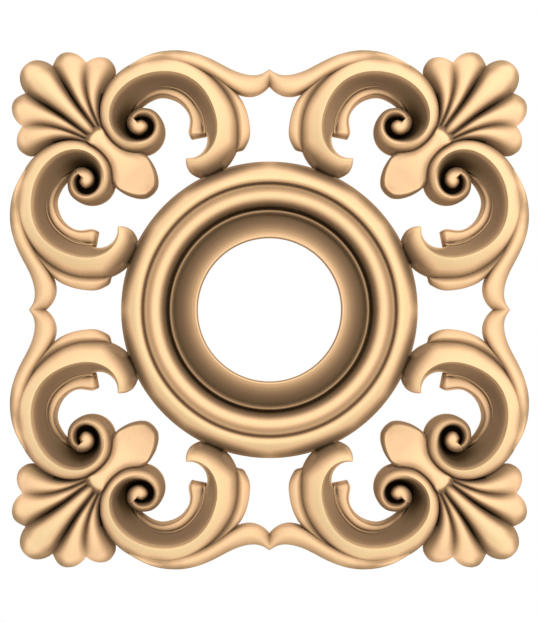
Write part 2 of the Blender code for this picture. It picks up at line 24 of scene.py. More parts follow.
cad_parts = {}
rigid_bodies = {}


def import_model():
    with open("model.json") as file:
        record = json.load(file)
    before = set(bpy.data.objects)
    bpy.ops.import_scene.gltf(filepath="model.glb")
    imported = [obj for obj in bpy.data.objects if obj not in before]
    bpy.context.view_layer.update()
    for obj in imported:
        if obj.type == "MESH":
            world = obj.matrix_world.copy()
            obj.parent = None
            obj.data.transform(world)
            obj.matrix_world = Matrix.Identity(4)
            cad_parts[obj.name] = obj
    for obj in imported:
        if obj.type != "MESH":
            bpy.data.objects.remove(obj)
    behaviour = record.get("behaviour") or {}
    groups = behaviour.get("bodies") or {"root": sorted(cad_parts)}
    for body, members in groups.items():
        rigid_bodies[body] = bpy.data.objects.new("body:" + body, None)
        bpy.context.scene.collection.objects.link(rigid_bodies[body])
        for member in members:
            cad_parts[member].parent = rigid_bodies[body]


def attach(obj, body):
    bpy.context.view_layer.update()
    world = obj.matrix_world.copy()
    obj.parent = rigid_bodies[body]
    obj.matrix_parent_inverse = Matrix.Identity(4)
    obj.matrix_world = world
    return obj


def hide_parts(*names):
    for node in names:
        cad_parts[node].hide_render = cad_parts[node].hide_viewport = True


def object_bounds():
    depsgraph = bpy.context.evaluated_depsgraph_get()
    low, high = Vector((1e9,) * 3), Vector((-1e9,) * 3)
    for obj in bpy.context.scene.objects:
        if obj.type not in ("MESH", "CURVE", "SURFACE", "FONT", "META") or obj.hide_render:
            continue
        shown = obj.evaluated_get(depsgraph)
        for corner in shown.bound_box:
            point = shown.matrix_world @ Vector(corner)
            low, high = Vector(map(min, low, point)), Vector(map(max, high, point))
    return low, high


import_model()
CAD_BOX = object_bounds()

LOG = logging.getLogger("carved_panel")

MM = 0.001
WELD = 0.02
PATH_STEPS = 8000
NODE = "carved_panel"
# Point attribute: how much painted shade each point gets; the deeper in a hollow, the darker
PAINTED_SHADE_DEPTH = "painted_shade_depth_mm"

# Rows of sizes, one row of sizes, and two sizes that belong together
Table = tuple[tuple[float, ...], ...]
Row = tuple[float, ...]
Pair = tuple[float, float]


class Trim(Enum):
    """The two ways solids are worked into one another."""

    UNITE = "UNION"
    KEEP_SHARED = "INTERSECT"


class MirrorPlane(Enum):
    """Planes the eighth is mirrored about, as the angle it is turned by first."""

    DIAGONAL = 45.0
    UPRIGHT = 0.0


def natural_curve(knots: Any, values: Any, at: Any) -> np.ndarray:
    """Read a smooth curve through values at knots.

    Between knots the curve is a cubic; slopes and bends agree at every knot and the
    two ends are straight.  The bends solve one tridiagonal system.

    Args:
        knots: rising places of the values.
        values: one value or row of values for each knot.
        at: places to read.

    Returns:
        The values at those places.
    """
    knots = np.asarray(knots, float)
    values = np.asarray(values, float)
    gaps = np.diff(knots)
    size = len(knots)
    inner = np.arange(1, size - 1)
    system = np.eye(size)
    system[inner, inner - 1] = gaps[:-1]
    system[inner, inner] = 2.0 * (gaps[:-1] + gaps[1:])
    system[inner, inner + 1] = gaps[1:]
    right = np.zeros(values.shape)
    column = (len(gaps),) + (1,) * (values.ndim - 1)
    slopes = np.diff(values, axis=0) / gaps.reshape(column)
    right[1:-1] = 6.0 * np.diff(slopes, axis=0)
    bends = np.linalg.solve(system, right)
    at = np.clip(np.asarray(at, float), knots[0], knots[-1])
    cell = np.clip(np.searchsorted(knots, at, side="right") - 1, 0, size - 2)
    shape = (len(at),) + (1,) * (values.ndim - 1)
    gap = gaps[cell].reshape(shape)
    low = (knots[cell + 1] - at).reshape(shape)
    high = (at - knots[cell]).reshape(shape)
    curved = (bends[cell] * low ** 3 + bends[cell + 1] * high ** 3) / (6.0 * gap)
    start = (values[cell] / gap - bends[cell] * gap / 6.0) * low
    end = (values[cell + 1] / gap - bends[cell + 1] * gap / 6.0) * high
    return curved + start + end


def firm_curve(knots: Any, values: Any, at: Any) -> np.ndarray:
    """Read a smooth curve that never rises above or falls below its own knots.

    The slope at a knot is the harmonic mean of the slopes either side, and nought at
    a crest or a hollow, so mouldings keep their crisp arrises.

    Args:
        knots: rising places of the values.
        values: one value for each knot.
        at: places to read.

    Returns:
        The values at those places.
    """
    knots = np.asarray(knots, float)
    values = np.asarray(values, float)
    gaps = np.diff(knots)
    slopes = np.diff(values) / gaps
    before, after = slopes[:-1], slopes[1:]
    same = before * after > 0.0
    safe = np.where(same, before + after, 1.0)
    middle = np.where(same, 2.0 * before * after / safe, 0.0)
    tangent = np.concatenate([slopes[:1], middle, slopes[-1:]])
    at = np.clip(np.asarray(at, float), knots[0], knots[-1])
    cell = np.clip(np.searchsorted(knots, at, side="right") - 1, 0, len(gaps) - 1)
    gap = gaps[cell]
    t = (at - knots[cell]) / gap
    first = values[cell] * (1.0 + 2.0 * t) * (1.0 - t) ** 2 + tangent[cell] * gap * t * (1.0 - t) ** 2
    last = values[cell + 1] * t ** 2 * (3.0 - 2.0 * t) - tangent[cell + 1] * gap * t ** 2 * (1.0 - t)
    return first + last


def along(pairs: Table, at: np.ndarray) -> np.ndarray:
    """Read a list of (place, value) pairs as a smooth curve."""
    table = np.asarray(pairs, float)
    return natural_curve(table[:, 0], table[:, 1], at)


def through(points: Any, at: np.ndarray) -> np.ndarray:
    """Read a smooth line through points at shares 0 to 1 of its length.

    Args:
        points: rows of plan places, with heights beside them or not.
        at: shares of the length to read.

    Returns:
        One row for each share.
    """
    table = np.asarray(points, float)
    steps = np.linalg.norm(np.diff(table[:, :2], axis=0), axis=1)
    walked = np.concatenate([[0.0], np.cumsum(steps)])
    return natural_curve(walked / walked[-1], table, at)


def rays(angle: np.ndarray) -> np.ndarray:
    """Unit directions in plan at angles from the x axis: cosine and sine side by side."""
    return np.stack([np.cos(angle), np.sin(angle)], axis=1)


def between(first: np.ndarray, second: np.ndarray, share: np.ndarray) -> np.ndarray:
    """Places from one line to another, row by row: first + (second - first) * share."""
    return first[:, None, :] + (second - first)[:, None, :] * share[..., None]


def relief(plan: np.ndarray, level: np.ndarray) -> np.ndarray:
    """Grid of (x, z, height) from plan places and their heights."""
    return np.concatenate([plan, level[..., None]], axis=-1)


def bell(distance: np.ndarray, reach: float) -> np.ndarray:
    """Bell shape, one at nought and fading with distance: exp(-(distance / reach) squared)."""
    return np.exp(-(distance / reach) ** 2)


@dataclass(frozen=True)
class Sight:
    """Where the plan sizes of the panel are read from."""

    distance: float = 1000.0
    true_height: float = 25.0

    def spread(self, plan: np.ndarray, heights: np.ndarray) -> np.ndarray:
        """True plan places: seen place times 1 + (true height - height) / distance."""
        scale = 1.0 + (self.true_height - np.asarray(heights)) / self.distance
        return np.asarray(plan) * scale[..., None]

    def rail(self, plan: np.ndarray, heights: np.ndarray, seen: np.ndarray | None = None) -> np.ndarray:
        """Line of the relief at the given heights, its plan read at the heights `seen`."""
        placed = self.spread(plan, heights if seen is None else seen)
        return relief(placed, np.asarray(heights))


SIGHT = Sight()


@dataclass(frozen=True)
class CrestPath:
    """Crest of the scroll, walked from the tip of the C round to the eye of the volute."""

    start: Pair = (83.4, 151.3)
    heading: float = -165.7
    lengths: Row = (
        0.0, 17.4, 41.8, 69.7, 104.6, 146.4, 188.2, 223.1, 251.0, 275.4, 299.8, 324.2, 338.0)
    radii: Row = (
        19.4, 25.9, 36.8, 80.7, 44.2, 68.9, 50.6, 28.8, 29.1, 20.3, 14.4, 11.7, 8.4)
    step_offset: float = 4.0
    step_power: float = 0.6
    tip_steps: Pair = (0.3, 24.0)

    def walk(self, stations: np.ndarray) -> tuple[np.ndarray, np.ndarray]:
        """Plan points and outward directions at distances walked.

        The heading is the first heading less the sum of step over radius, and the
        place is the sum of the steps taken along that heading.

        Args:
            stations: distances walked from the tip.

        Returns:
            Points and unit directions away from the hollow of the scroll.
        """
        walked = np.linspace(0.0, self.lengths[-1], PATH_STEPS)
        step = walked[1]
        turning = -np.interp(walked, self.lengths, 1.0 / np.asarray(self.radii))
        swept = np.concatenate([[0.0], np.cumsum((turning[1:] + turning[:-1]) * 0.5 * step)])
        heading = math.radians(self.heading) + swept
        course = rays(heading)
        moved = np.cumsum((course[1:] + course[:-1]) * 0.5 * step, axis=0)
        places = np.asarray(self.start) + np.vstack([np.zeros(2), moved])
        turn = np.interp(stations, walked, heading)
        points = np.stack([np.interp(stations, walked, places[:, i]) for i in (0, 1)], axis=1)
        return points, np.stack([-np.sin(turn), np.cos(turn)], axis=1)

    def stations(self, count: int) -> np.ndarray:
        """Distances along the crest, closer together where it turns sharply and at its tip.

        A step is in proportion to a power of the radius plus an offset, and shorter
        over the first stretch from the tip.

        Args:
            count: how many distances.

        Returns:
            The distances, from the tip on.
        """
        walked = np.linspace(0.0, self.lengths[-1], PATH_STEPS // 2)
        radius = np.interp(walked, self.lengths, self.radii)
        least, stretch = self.tip_steps
        step = (radius + self.step_offset) ** self.step_power * np.clip(least + walked / stretch, least, 1.0)
        measure = np.concatenate([[0.0], np.cumsum(1.0 / step[:-1])])
        return np.interp(np.linspace(0.0, measure[-1], count), measure, walked)


CREST = CrestPath()


class Form:
    """One carved form: a lofted front carried straight back behind the panel."""

    name: str = "form"
    behind: float = 2.0

    def fronts(self) -> list[np.ndarray]:
        """Grids of (x, z, height) rows that make the front of the form."""
        raise NotImplementedError

    def solid(self) -> tuple[np.ndarray, np.ndarray]:
        """Work the fronts into one closed solid.

        Grid cells become pairs of triangles that face the viewer, points closer than
        the weld are one, a turned copy lies flat behind the back, and every edge that
        only one front triangle uses is joined to its copy by a wall.

        Returns:
            Points in metres and triangles as rows of point numbers.
        """
        points, faces, base = [], [], 0
        for grid in self.fronts():
            rows, across = grid.shape[:2]
            number = np.arange(rows * across).reshape(rows, across) + base
            a, b, c, d = number[:-1, :-1], number[1:, :-1], number[1:, 1:], number[:-1, 1:]
            cells = np.stack([a, b, c, d], axis=-1).reshape(-1, 4)
            flat = np.concatenate([cells[:, [0, 1, 2]], cells[:, [0, 2, 3]]])
            place = grid.reshape(-1, 3)
            side = place[flat - base]
            one, two = side[:, 1, :2] - side[:, 0, :2], side[:, 2, :2] - side[:, 0, :2]
            turned = np.sum(one[:, 0] * two[:, 1] - one[:, 1] * two[:, 0]) < 0.0
            points.append(place)
            faces.append(flat[:, ::-1] if turned else flat)
            base += len(place)
        place = np.concatenate(points)
        keys = np.round(place / WELD).astype(np.int64)
        _, first, number = np.unique(keys, axis=0, return_index=True, return_inverse=True)
        front = number.reshape(-1)[np.concatenate(faces)]
        place = place[first]
        alike = (front[:, 0] == front[:, 1]) | (front[:, 1] == front[:, 2]) | (front[:, 2] == front[:, 0])
        front = front[~alike]
        count = len(place)
        edges = np.concatenate([front[:, [0, 1]], front[:, [1, 2]], front[:, [2, 0]]])
        forward = edges[:, 0] * count + edges[:, 1]
        rim = edges[~np.isin(forward, edges[:, 1] * count + edges[:, 0])]
        i, j = rim[:, 0], rim[:, 1]
        walls = np.concatenate([
            np.stack([j, i, i + count], axis=1), np.stack([j, i + count, j + count], axis=1)])
        raised = np.stack([place[:, 0], -place[:, 2], place[:, 1]], axis=1)
        rear = raised.copy()
        rear[:, 1] = self.behind
        return np.concatenate([raised, rear]) * MM, np.concatenate([front, front[:, ::-1] + count, walls])

    def build(self, group: bpy.types.Collection) -> bpy.types.Object:
        """Make the form's solid as an object of the given collection."""
        return make_object(self.name, *self.solid(), group)


@dataclass
class RingMoulding(Form):
    """Ring of the panel: thin rim, wide cove, small bead, channel, round and outer mouldings."""

    name: str = "ring"
    behind: float = 5.0
    profile: Table = (
        (72.5, 15.0), (72.7, 18.4), (73.1, 20.0), (73.8, 20.5), (74.6, 19.9), (75.6, 18.8),
        (78.0, 16.4), (82.0, 13.4), (86.0, 10.5), (90.0, 8.1), (93.2, 6.3), (95.6, 6.0),
        (97.3, 8.9), (98.2, 10.5), (99.1, 10.6), (99.9, 9.3), (100.6, 6.2), (101.7, 5.5),
        (103.4, 8.0), (105.4, 12.2), (107.6, 16.8), (109.8, 20.6), (112.4, 23.2), (115.0, 23.9),
        (118.0, 23.4), (120.6, 22.4), (122.0, 22.3), (123.2, 23.2), (124.9, 23.3),
        (125.9, 22.0), (126.8, 21.2), (127.8, 23.2), (129.1, 27.7), (130.8, 30.2),
        (132.6, 30.6), (135.0, 29.4), (137.6, 26.8), (140.6, 22.9), (143.6, 18.8),
        (146.4, 14.4), (148.3, 12.0))
    columns: int = 28
    rows: int = 60

    def fronts(self) -> list[np.ndarray]:
        """The profile turned about the middle over an eighth of a circle and a little more.

        Returns:
            The one grid of the front.
        """
        table = np.asarray(self.profile)
        walked = np.concatenate([[0.0], np.cumsum(np.hypot(*np.diff(table, axis=0).T))])
        knots = walked / walked[-1]
        fine = np.interp(np.linspace(0.0, 1.0, self.rows), np.linspace(0.0, 1.0, len(knots)), knots)
        radius = firm_curve(knots, table[:, 0], fine)
        height = firm_curve(knots, table[:, 1], fine)
        half_step = math.radians(45.0) / self.columns * 0.5
        angle = np.linspace(math.radians(45.0) - half_step, math.radians(90.0) + half_step, self.columns + 2)
        plan = radius[None, :, None] * rays(angle)[:, None, :]
        return [SIGHT.rail(plan, np.broadcast_to(height, plan.shape[:2]))]


@dataclass
class Scroll(Form):
    """C-scroll: an outer band up to the crest and a deep cove down to its foot."""

    name: str = "scroll"
    behind: float = 2.2
    rows: int = 118
    band_width: Table = (
        (0, 1.2), (2, 8.2), (5, 13.4), (10, 18.8), (16, 21.6), (30, 23.5), (50, 21.4),
        (75, 17.8), (105, 12.0), (125, 11.9), (155, 14.4), (185, 12.7), (240, 7.5),
        (252, 8.9), (270, 13.6), (277, 13.0), (300, 4.4), (312, 3.8), (330, 5.2), (338, 5.2))
    cove_width: Table = (
        (0, 0.8), (10, 1.7), (22, 3.8), (40, 9.5), (50, 14.0), (75, 16.6), (135, 18.1),
        (175, 21.2), (200, 21.8), (222, 20.0), (240, 14.6), (250, 12.0), (262, 9.8), (290, 8.6),
        (308, 7.6), (316, 6.0), (321, 4.0), (325, 2.4), (329, 1.6), (338, 1.4))
    crest_height: Table = (
        (0, 23.0), (6, 26.0), (20, 30.5), (45, 34.5), (70, 35.0), (110, 33.0), (150, 31.4),
        (190, 30.4), (240, 30.0), (265, 28.6), (290, 25.6), (312, 22.8), (328, 21.8), (338, 17.8))
    edge_height: Table = (
        (0, 19.0), (5, 16.0), (15, 13.0), (30, 13.0), (50, 16.0), (72, 17.5), (95, 20.0),
        (118, 23.6), (136, 22.8), (154, 18.4), (172, 15.6), (205, 19.5), (232, 22.0),
        (252, 19.5), (270, 13.0), (292, 9.5), (312, 11.5), (328, 13.4), (338, 11.6))
    foot_height: Table = (
        (0, 22.0), (12, 22.8), (30, 22.2), (50, 20.0), (80, 18.0), (120, 16.2), (160, 14.4),
        (190, 12.2), (215, 9.4), (235, 6.8), (250, 5.6), (270, 5.0), (322, 5.0), (328, 9.0),
        (338, 12.0))
    band_shares: Row = (0.0, 0.035, 0.08, 0.16, 0.28, 0.42, 0.57, 0.71, 0.83, 0.91, 0.965)
    cove_shares: Row = (
        0.0, 0.02, 0.05, 0.1, 0.17, 0.26, 0.37, 0.49, 0.62, 0.75, 0.88, 1.0)
    band_belly: Pair = (0.3, -0.3)
    belly_turns: Pair = (225.0, 262.0)
    cove_steepness: Pair = (0.85, 0.12)
    cove_turns: Pair = (225.0, 265.0)
    wall_seen: Row = (250.0, 262.0, 300.0, 312.0)
    coil_from: float = 225.0
    coil_foot_seen: float = 13.4
    crest_round: Pair = (0.5, 0.9)
    edge_round: Pair = (1.5, 1.4)

    def fronts(self) -> list[np.ndarray]:
        """Band and cove between three lines: outer edge, crest and foot of the cove.

        Up the band the height rises as share plus belly times share (1 - share), full
        on the C and hollow on the volute.  Down the cove it falls partly by a quarter
        circle, partly by a half wave.  Crest and edge lose a bell-shaped touch of
        height, which rounds them.  The edge is read at its own height, but at the back
        between the middle two stations of wall_seen, where its wall shows.

        Returns:
            The one grid of the front.
        """
        stations = CREST.stations(self.rows)
        points, outward = CREST.walk(stations)
        crest_height = along(self.crest_height, stations)
        edge_height = along(self.edge_height, stations)
        foot_height = along(self.foot_height, stations)
        band = along(self.band_width, stations)
        cove = along(self.cove_width, stations)
        free_side = np.interp(stations, self.wall_seen, (1.0, 0.0, 0.0, 1.0))
        foot_seen = np.where(stations > self.coil_from, self.coil_foot_seen, foot_height)
        edge = SIGHT.spread(points + outward * band[:, None], edge_height * free_side)
        crest = SIGHT.spread(points, crest_height)
        foot = SIGHT.spread(points - outward * cove[:, None], foot_seen)

        up = np.asarray(self.band_shares)[None, :]
        down = np.asarray(self.cove_shares)[None, :]
        belly = np.interp(stations, self.belly_turns, self.band_belly)[:, None]
        rise = up + belly * up * (1.0 - up)
        band_height = edge_height[:, None] + (crest_height - edge_height)[:, None] * rise
        depth, reach = self.edge_round
        band_height -= depth * bell(up * band[:, None], reach)
        quarter = np.sqrt(down * (2.0 - down))
        wave = 0.5 * (1.0 - np.cos(math.pi * down))
        steep = np.interp(stations, self.cove_turns, self.cove_steepness)[:, None]
        fall = steep * quarter + (1.0 - steep) * wave
        cove_height = crest_height[:, None] - (crest_height - foot_height)[:, None] * fall
        depth, reach = self.crest_round
        band_height -= depth * bell((1.0 - up) * band[:, None], reach)
        cove_height -= depth * bell(down * cove[:, None], reach)
        plan = np.concatenate([between(edge, crest, up), between(crest, foot, down)], axis=1)
        return [relief(plan, np.concatenate([band_height, cove_height], axis=1))]


@dataclass
class Eye(Form):
    """Eye of the volute: a low round dome that the end of the scroll runs into."""

    name: str = "eye"
    behind: float = 2.4
    centre: Pair = (130.6, 183.4)
    top: float = 22.4
    outline: Table = (
        (62, 6.6, 15.0), (68, 6.1, 13.4), (84, 6.0, 13.4), (107, 7.0, 13.4), (125, 7.5, 13.4),
        (142, 8.0, 13.4), (160, 8.8, 13.4), (180, 9.2, 13.4), (205, 8.9, 13.4), (237, 8.5, 13.4),
        (275, 8.6, 13.4), (315, 9.1, 13.4), (348, 10.5, 13.4), (375, 12.2, 13.4), (390, 13.3, 13.4),
        (400, 13.8, 14.2), (406, 12.8, 18.0), (411, 10.8, 20.6), (416, 8.6, 20.6), (422, 6.6, 15.0))
    flatness: float = 3.2
    columns: int = 73
    shares: Row = (0.0, 0.25, 0.45, 0.6, 0.72, 0.82, 0.9, 0.96, 1.0)

    def fronts(self) -> list[np.ndarray]:
        """Rays from the centre to the outline; height falls as a power of the share walked.

        Returns:
            The one grid of the front.
        """
        table = np.asarray(self.outline, float)
        angle = np.linspace(table[0, 0], table[-1, 0], self.columns)
        reach = firm_curve(table[:, 0], table[:, 1], angle)
        rim = firm_curve(table[:, 0], table[:, 2], angle)
        share = np.asarray(self.shares)[:, None]
        walked = (reach[None, :] * share)[..., None] * rays(np.radians(angle))[None, :, :]
        plan = np.asarray(self.centre) + walked
        plan[:, -1] = plan[:, 0]
        height = self.top - (self.top - rim)[None, :] * share ** self.flatness
        height[:, -1] = height[:, 0]
        return [SIGHT.rail(plan, height)]


@dataclass
class Lip(Form):
    """Lip inside the C: fine ridge, narrow groove, soft belly and a rounded free edge."""

    name: str = "lip"
    behind: float = 2.6
    rows: int = 52
    columns: int = 25
    crowding: float = 1.25
    end_roll: Pair = (3.6, 1.6)
    lines: Table = (
        (65.8, 175.0, 77.4, 169.8, 20.0),
        (65.2, 176.6, 79.2, 172.4, 20.2),
        (65.0, 180.0, 79.0, 178.8, 20.2),
        (66.2, 190.5, 79.1, 191.0, 19.9),
        (73.2, 205.0, 86.2, 203.0, 19.2),
        (88.0, 218.9, 99.6, 210.4, 18.0),
        (106.0, 223.0, 111.6, 210.7, 16.4),
        (122.0, 219.0, 123.0, 204.9, 14.4),
        (134.6, 207.6, 131.2, 197.0, 11.6),
        (139.0, 198.6, 134.0, 191.6, 8.8))
    section: Table = (
        (-0.09, -2.4), (-0.05, 0.0), (-0.02, 0.9), (0.02, 0.9), (0.05, 0.0), (0.09, -2.0), (0.13, -2.4),
        (0.2, -1.1), (0.32, 0.1), (0.5, 0.4), (0.68, 0.2), (0.78, -0.3), (0.84, -1.8),
        (0.88, -3.4), (0.92, -2.6), (0.96, -2.4), (1.0, -3.4))

    def fronts(self) -> list[np.ndarray]:
        """Section laid across from the ridge line to the free edge at every row.

        Returns:
            The one grid of the front.
        """
        at = np.linspace(0.0, 1.0, self.rows) ** self.crowding
        rows = through(self.lines, at)
        depth, reach = self.end_roll
        walked = np.linalg.norm(rows[:, 2:4] - rows[0, 2:4], axis=1)
        height = rows[:, 4] - depth * bell(walked, reach)
        ridge = SIGHT.spread(rows[:, 0:2], height)
        edge = SIGHT.spread(rows[:, 2:4], height * 0.0)
        table = np.asarray(self.section)
        share = np.interp(
            np.linspace(0.0, 1.0, self.columns), np.linspace(0.0, 1.0, len(table)), table[:, 0])
        rise = firm_curve(table[:, 0], table[:, 1], share)
        return [relief(between(ridge, edge, share[None, :]), height[:, None] + rise[None, :])]


@dataclass
class LongLeaf(Form):
    """Long leaf: sloping outer face, ridge, then a gentler face to the inner edge."""

    name: str = "long_leaf"
    behind: float = 3.0
    rows: int = 54
    lines: Table = (
        (141.0, 244.6, 139.6, 243.0, 138.6, 240.6, 20.0, 0.6, 0.6),
        (121.0, 255.2, 118.5, 252.0, 116.5, 249.0, 23.4, 2.2, 1.0),
        (99.0, 259.7, 97.5, 252.2, 95.0, 247.0, 23.6, 5.4, 3.0),
        (77.0, 257.8, 77.5, 249.5, 73.5, 240.5, 23.0, 8.2, 5.0),
        (55.0, 249.5, 57.0, 241.0, 54.0, 231.5, 22.6, 10.0, 5.0),
        (35.0, 239.3, 37.0, 229.5, 36.0, 220.4, 22.4, 10.0, 4.6),
        (17.5, 234.9, 19.5, 224.6, 19.0, 216.2, 21.8, 9.5, 4.4),
        (6.0, 237.0, 7.0, 229.8, 5.5, 220.8, 19.4, 7.5, 4.4),
        (-3.0, 243.0, -3.0, 241.0, -3.0, 229.0, 14.0, 4.0, 3.6))
    outer_shares: Row = (0.0, 0.05, 0.12, 0.25, 0.42, 0.6, 0.77, 0.9, 0.96)
    inner_shares: Row = (0.0, 0.04, 0.1, 0.22, 0.38, 0.55, 0.7, 0.83, 0.92, 0.97, 1.0)
    inner_fall: Pair = (0.55, 0.45)
    roll_power: int = 6
    belly: float = 4.8
    full_width: float = 8.0
    edge_round: float = 1.2
    ridge_round: float = 0.6
    round_reach: float = 1.2

    def fronts(self) -> list[np.ndarray]:
        """Two faces between outer edge, ridge and inner edge.

        The outer face bellies out at its middle, less where it is narrow.  The inner
        one falls as a line and a high power of the share, so it is nearly flat and
        then rolls over to its edge.  A bell shape softens ridge and edge.

        Returns:
            The one grid of the front.
        """
        knots = np.linspace(0.0, 1.0, len(self.lines))
        rows = natural_curve(knots, self.lines, np.linspace(0.0, 1.0, self.rows))
        top, edge_drop, inner_drop = rows[:, 6], rows[:, 7], rows[:, 8]
        edge = SIGHT.spread(rows[:, 0:2], top - edge_drop)
        ridge = SIGHT.spread(rows[:, 2:4], top)
        inner = SIGHT.spread(rows[:, 4:6], top - inner_drop)
        up = np.asarray(self.outer_shares)[None, :]
        down = np.asarray(self.inner_shares)[None, :]
        outer_width = np.linalg.norm(ridge - edge, axis=1)[:, None]
        inner_width = np.linalg.norm(inner - ridge, axis=1)[:, None]
        belly = self.belly * np.minimum(outer_width / self.full_width, 1.0)
        outer_height = (top - edge_drop)[:, None] + edge_drop[:, None] * up + belly * up * (1.0 - up)
        outer_height -= self.edge_round * bell(up * outer_width, self.round_reach)
        outer_height -= self.ridge_round * bell((1.0 - up) * outer_width, self.round_reach)
        even, rolled = self.inner_fall
        inner_height = top[:, None] - inner_drop[:, None] * (even * down + rolled * down ** self.roll_power)
        inner_height -= self.ridge_round * bell(down * inner_width, self.round_reach)
        plan = np.concatenate([between(edge, ridge, up), between(ridge, inner, down)], axis=1)
        return [relief(plan, np.concatenate([outer_height, inner_height], axis=1))]


@dataclass
class ShortLeaf(Form):
    """Short leaf that lies against the back of the C-scroll."""

    name: str = "short_leaf"
    behind: float = 3.4
    rows: int = 40
    start: float = 36.4
    end: float = 106.0
    width: Table = (
        (36.4, 25.2), (37.4, 28.0), (40, 30.6), (45, 32.5), (52, 32.3), (62, 30.4),
        (72, 27.2), (84, 20.4), (96, 15.8), (106, 13.2))
    ridge: Table = (
        (36.4, 23.8), (40, 24.6), (50, 23.6), (62, 23.2), (74, 21.8), (84, 18.8), (96, 15.0), (106, 12.6))
    height: Table = ((36.4, 13.5), (42, 18.5), (55, 20.5), (80, 20.5), (106, 17.5))
    crowding: float = 1.35
    burial: Pair = (2.5, 0.6)
    edge_seen_share: float = 0.4
    drop: float = 5.0
    root_drop: float = 4.5
    belly: float = 5.6
    edge_round: Pair = (1.0, 1.0)
    ridge_round: Pair = (0.5, 0.9)
    outer_shares: Row = (0.0, 0.06, 0.15, 0.3, 0.46, 0.62, 0.78, 0.9, 0.96)
    root_shares: Row = (0.0, 0.06, 0.15, 0.3, 0.5, 0.75, 1.0)

    def fronts(self) -> list[np.ndarray]:
        """Outer face from the edge up to the ridge, then down into the scroll's band.

        The outer face bellies out by a quarter of the belly at its middle.

        Returns:
            The one grid of the front.
        """
        share = np.linspace(0.0, 1.0, self.rows)
        stations = self.start + (self.end - self.start) * share ** self.crowding
        points, outward = CREST.walk(stations)
        ridge_width = along(self.ridge, stations)
        height = along(self.height, stations)
        overlap, least = self.burial
        buried = np.minimum(along(Scroll.band_width, stations) - overlap, ridge_width - least)
        edge_seen = height * self.edge_seen_share
        edge = SIGHT.spread(points + outward * along(self.width, stations)[:, None], edge_seen)
        ridge = SIGHT.spread(points + outward * ridge_width[:, None], height)
        root = SIGHT.spread(points + outward * buried[:, None], height - self.root_drop)
        up = np.asarray(self.outer_shares)[None, :]
        down = np.asarray(self.root_shares)[None, :]
        outer_width = np.linalg.norm(ridge - edge, axis=1)[:, None]
        root_width = np.linalg.norm(root - ridge, axis=1)[:, None]
        outer = height[:, None] - self.drop * (1.0 - up) + self.belly * up * (1.0 - up)
        depth, reach = self.edge_round
        outer -= depth * bell(up * outer_width, reach)
        depth, reach = self.ridge_round
        outer -= depth * bell((1.0 - up) * outer_width, reach)
        inner = height[:, None] - self.root_drop * down
        inner -= depth * bell(down * root_width, reach)
        plan = np.concatenate([between(edge, ridge, up), between(ridge, root, down)], axis=1)
        return [relief(plan, np.concatenate([outer, inner], axis=1))]


@dataclass(frozen=True)
class Lobe:
    """One lobe of the shell: its two grooves, the rounded end and the line of its crest."""

    left: Table
    left_end: Table
    right: Table
    right_end: Table
    crest: Table
    crest_heights: Row
    body_rows: int = 30
    tip_rows: int = 11
    bead_places: Row = (0.0, 0.3, 0.6, 1.0)
    bead_shares: Row = (0.0, 0.1, 0.2, 0.3)
    end_powers: Pair = (2.4, 0.7)
    least_half: float = 0.01
    bead_start: float = 0.25
    bead_height: float = 1.3
    bead_reach: float = 0.5
    flank_shares: Row = (0.62, 0.52, 0.41, 0.3, 0.19, 0.08)

    def front(self, left_heights: Row, right_heights: Row, roundness: float) -> np.ndarray:
        """Section across at every row: height falls from crest to groove as a power of a cosine.

        The crown of the rounded end falls to the tip as a power of one less a power of
        the share.  A fine bell-shaped bead stands along each groove and fades at both ends.

        Args:
            left_heights: heights along the left groove, root to end, then at the tip.
            right_heights: the same for the right groove.
            roundness: power of the cosine; less than one makes a fuller lobe.

        Returns:
            Grid of (x, z, height).
        """
        at = np.linspace(0.0, 1.0, self.body_rows)
        end = np.sin(np.linspace(0.0, 0.5 * math.pi, self.tip_rows + 1))[1:]
        left = np.vstack([through(self.left, at), through((self.left[-1],) + self.left_end, end)])
        right = np.vstack([through(self.right, at), through((self.right[-1],) + self.right_end, end)])
        middle = through(self.crest, at)
        apex = np.asarray(self.left_end[-1])
        middle = np.vstack([middle, middle[-1] + (apex - middle[-1]) * end[:, None]])
        crown = natural_curve(np.linspace(0.0, 1.0, len(self.crest_heights)), self.crest_heights, at)
        low = left_heights[-1]
        inner, outer = self.end_powers
        crown = np.concatenate([crown, low + (crown[-1] - low) * (1.0 - end ** inner) ** outer])
        starting = np.clip(at / self.bead_start, 0.0, 1.0)
        fading = np.concatenate([starting, np.linspace(1.0, 0.0, self.tip_rows)])[:, None]
        plans, levels = [], []
        for side, heights in ((left, left_heights), (right, right_heights)):
            groove = natural_curve(np.linspace(0.0, 1.0, len(heights) - 1), heights[:-1], at)
            groove = np.concatenate([groove, groove[-1] + (low - groove[-1]) * end])
            half = np.maximum(np.linalg.norm(side - middle, axis=1), self.least_half)[:, None]
            beside = 1.0 - np.minimum(np.asarray(self.bead_places) / half, np.asarray(self.bead_shares))
            flank = np.broadcast_to(self.flank_shares, (len(half), len(self.flank_shares)))
            share = np.concatenate([beside, flank], axis=1)
            rise = np.cos(0.5 * math.pi * share) ** roundness
            bead = self.bead_height * fading * bell((1.0 - share) * half, self.bead_reach)
            plans.append(between(middle, side, share))
            levels.append(groove[:, None] + (crown - groove)[:, None] * rise + bead)
        plan = np.concatenate([plans[0], plans[1][:, ::-1]], axis=1)
        return SIGHT.rail(plan, np.concatenate([levels[0], levels[1][:, ::-1]], axis=1))


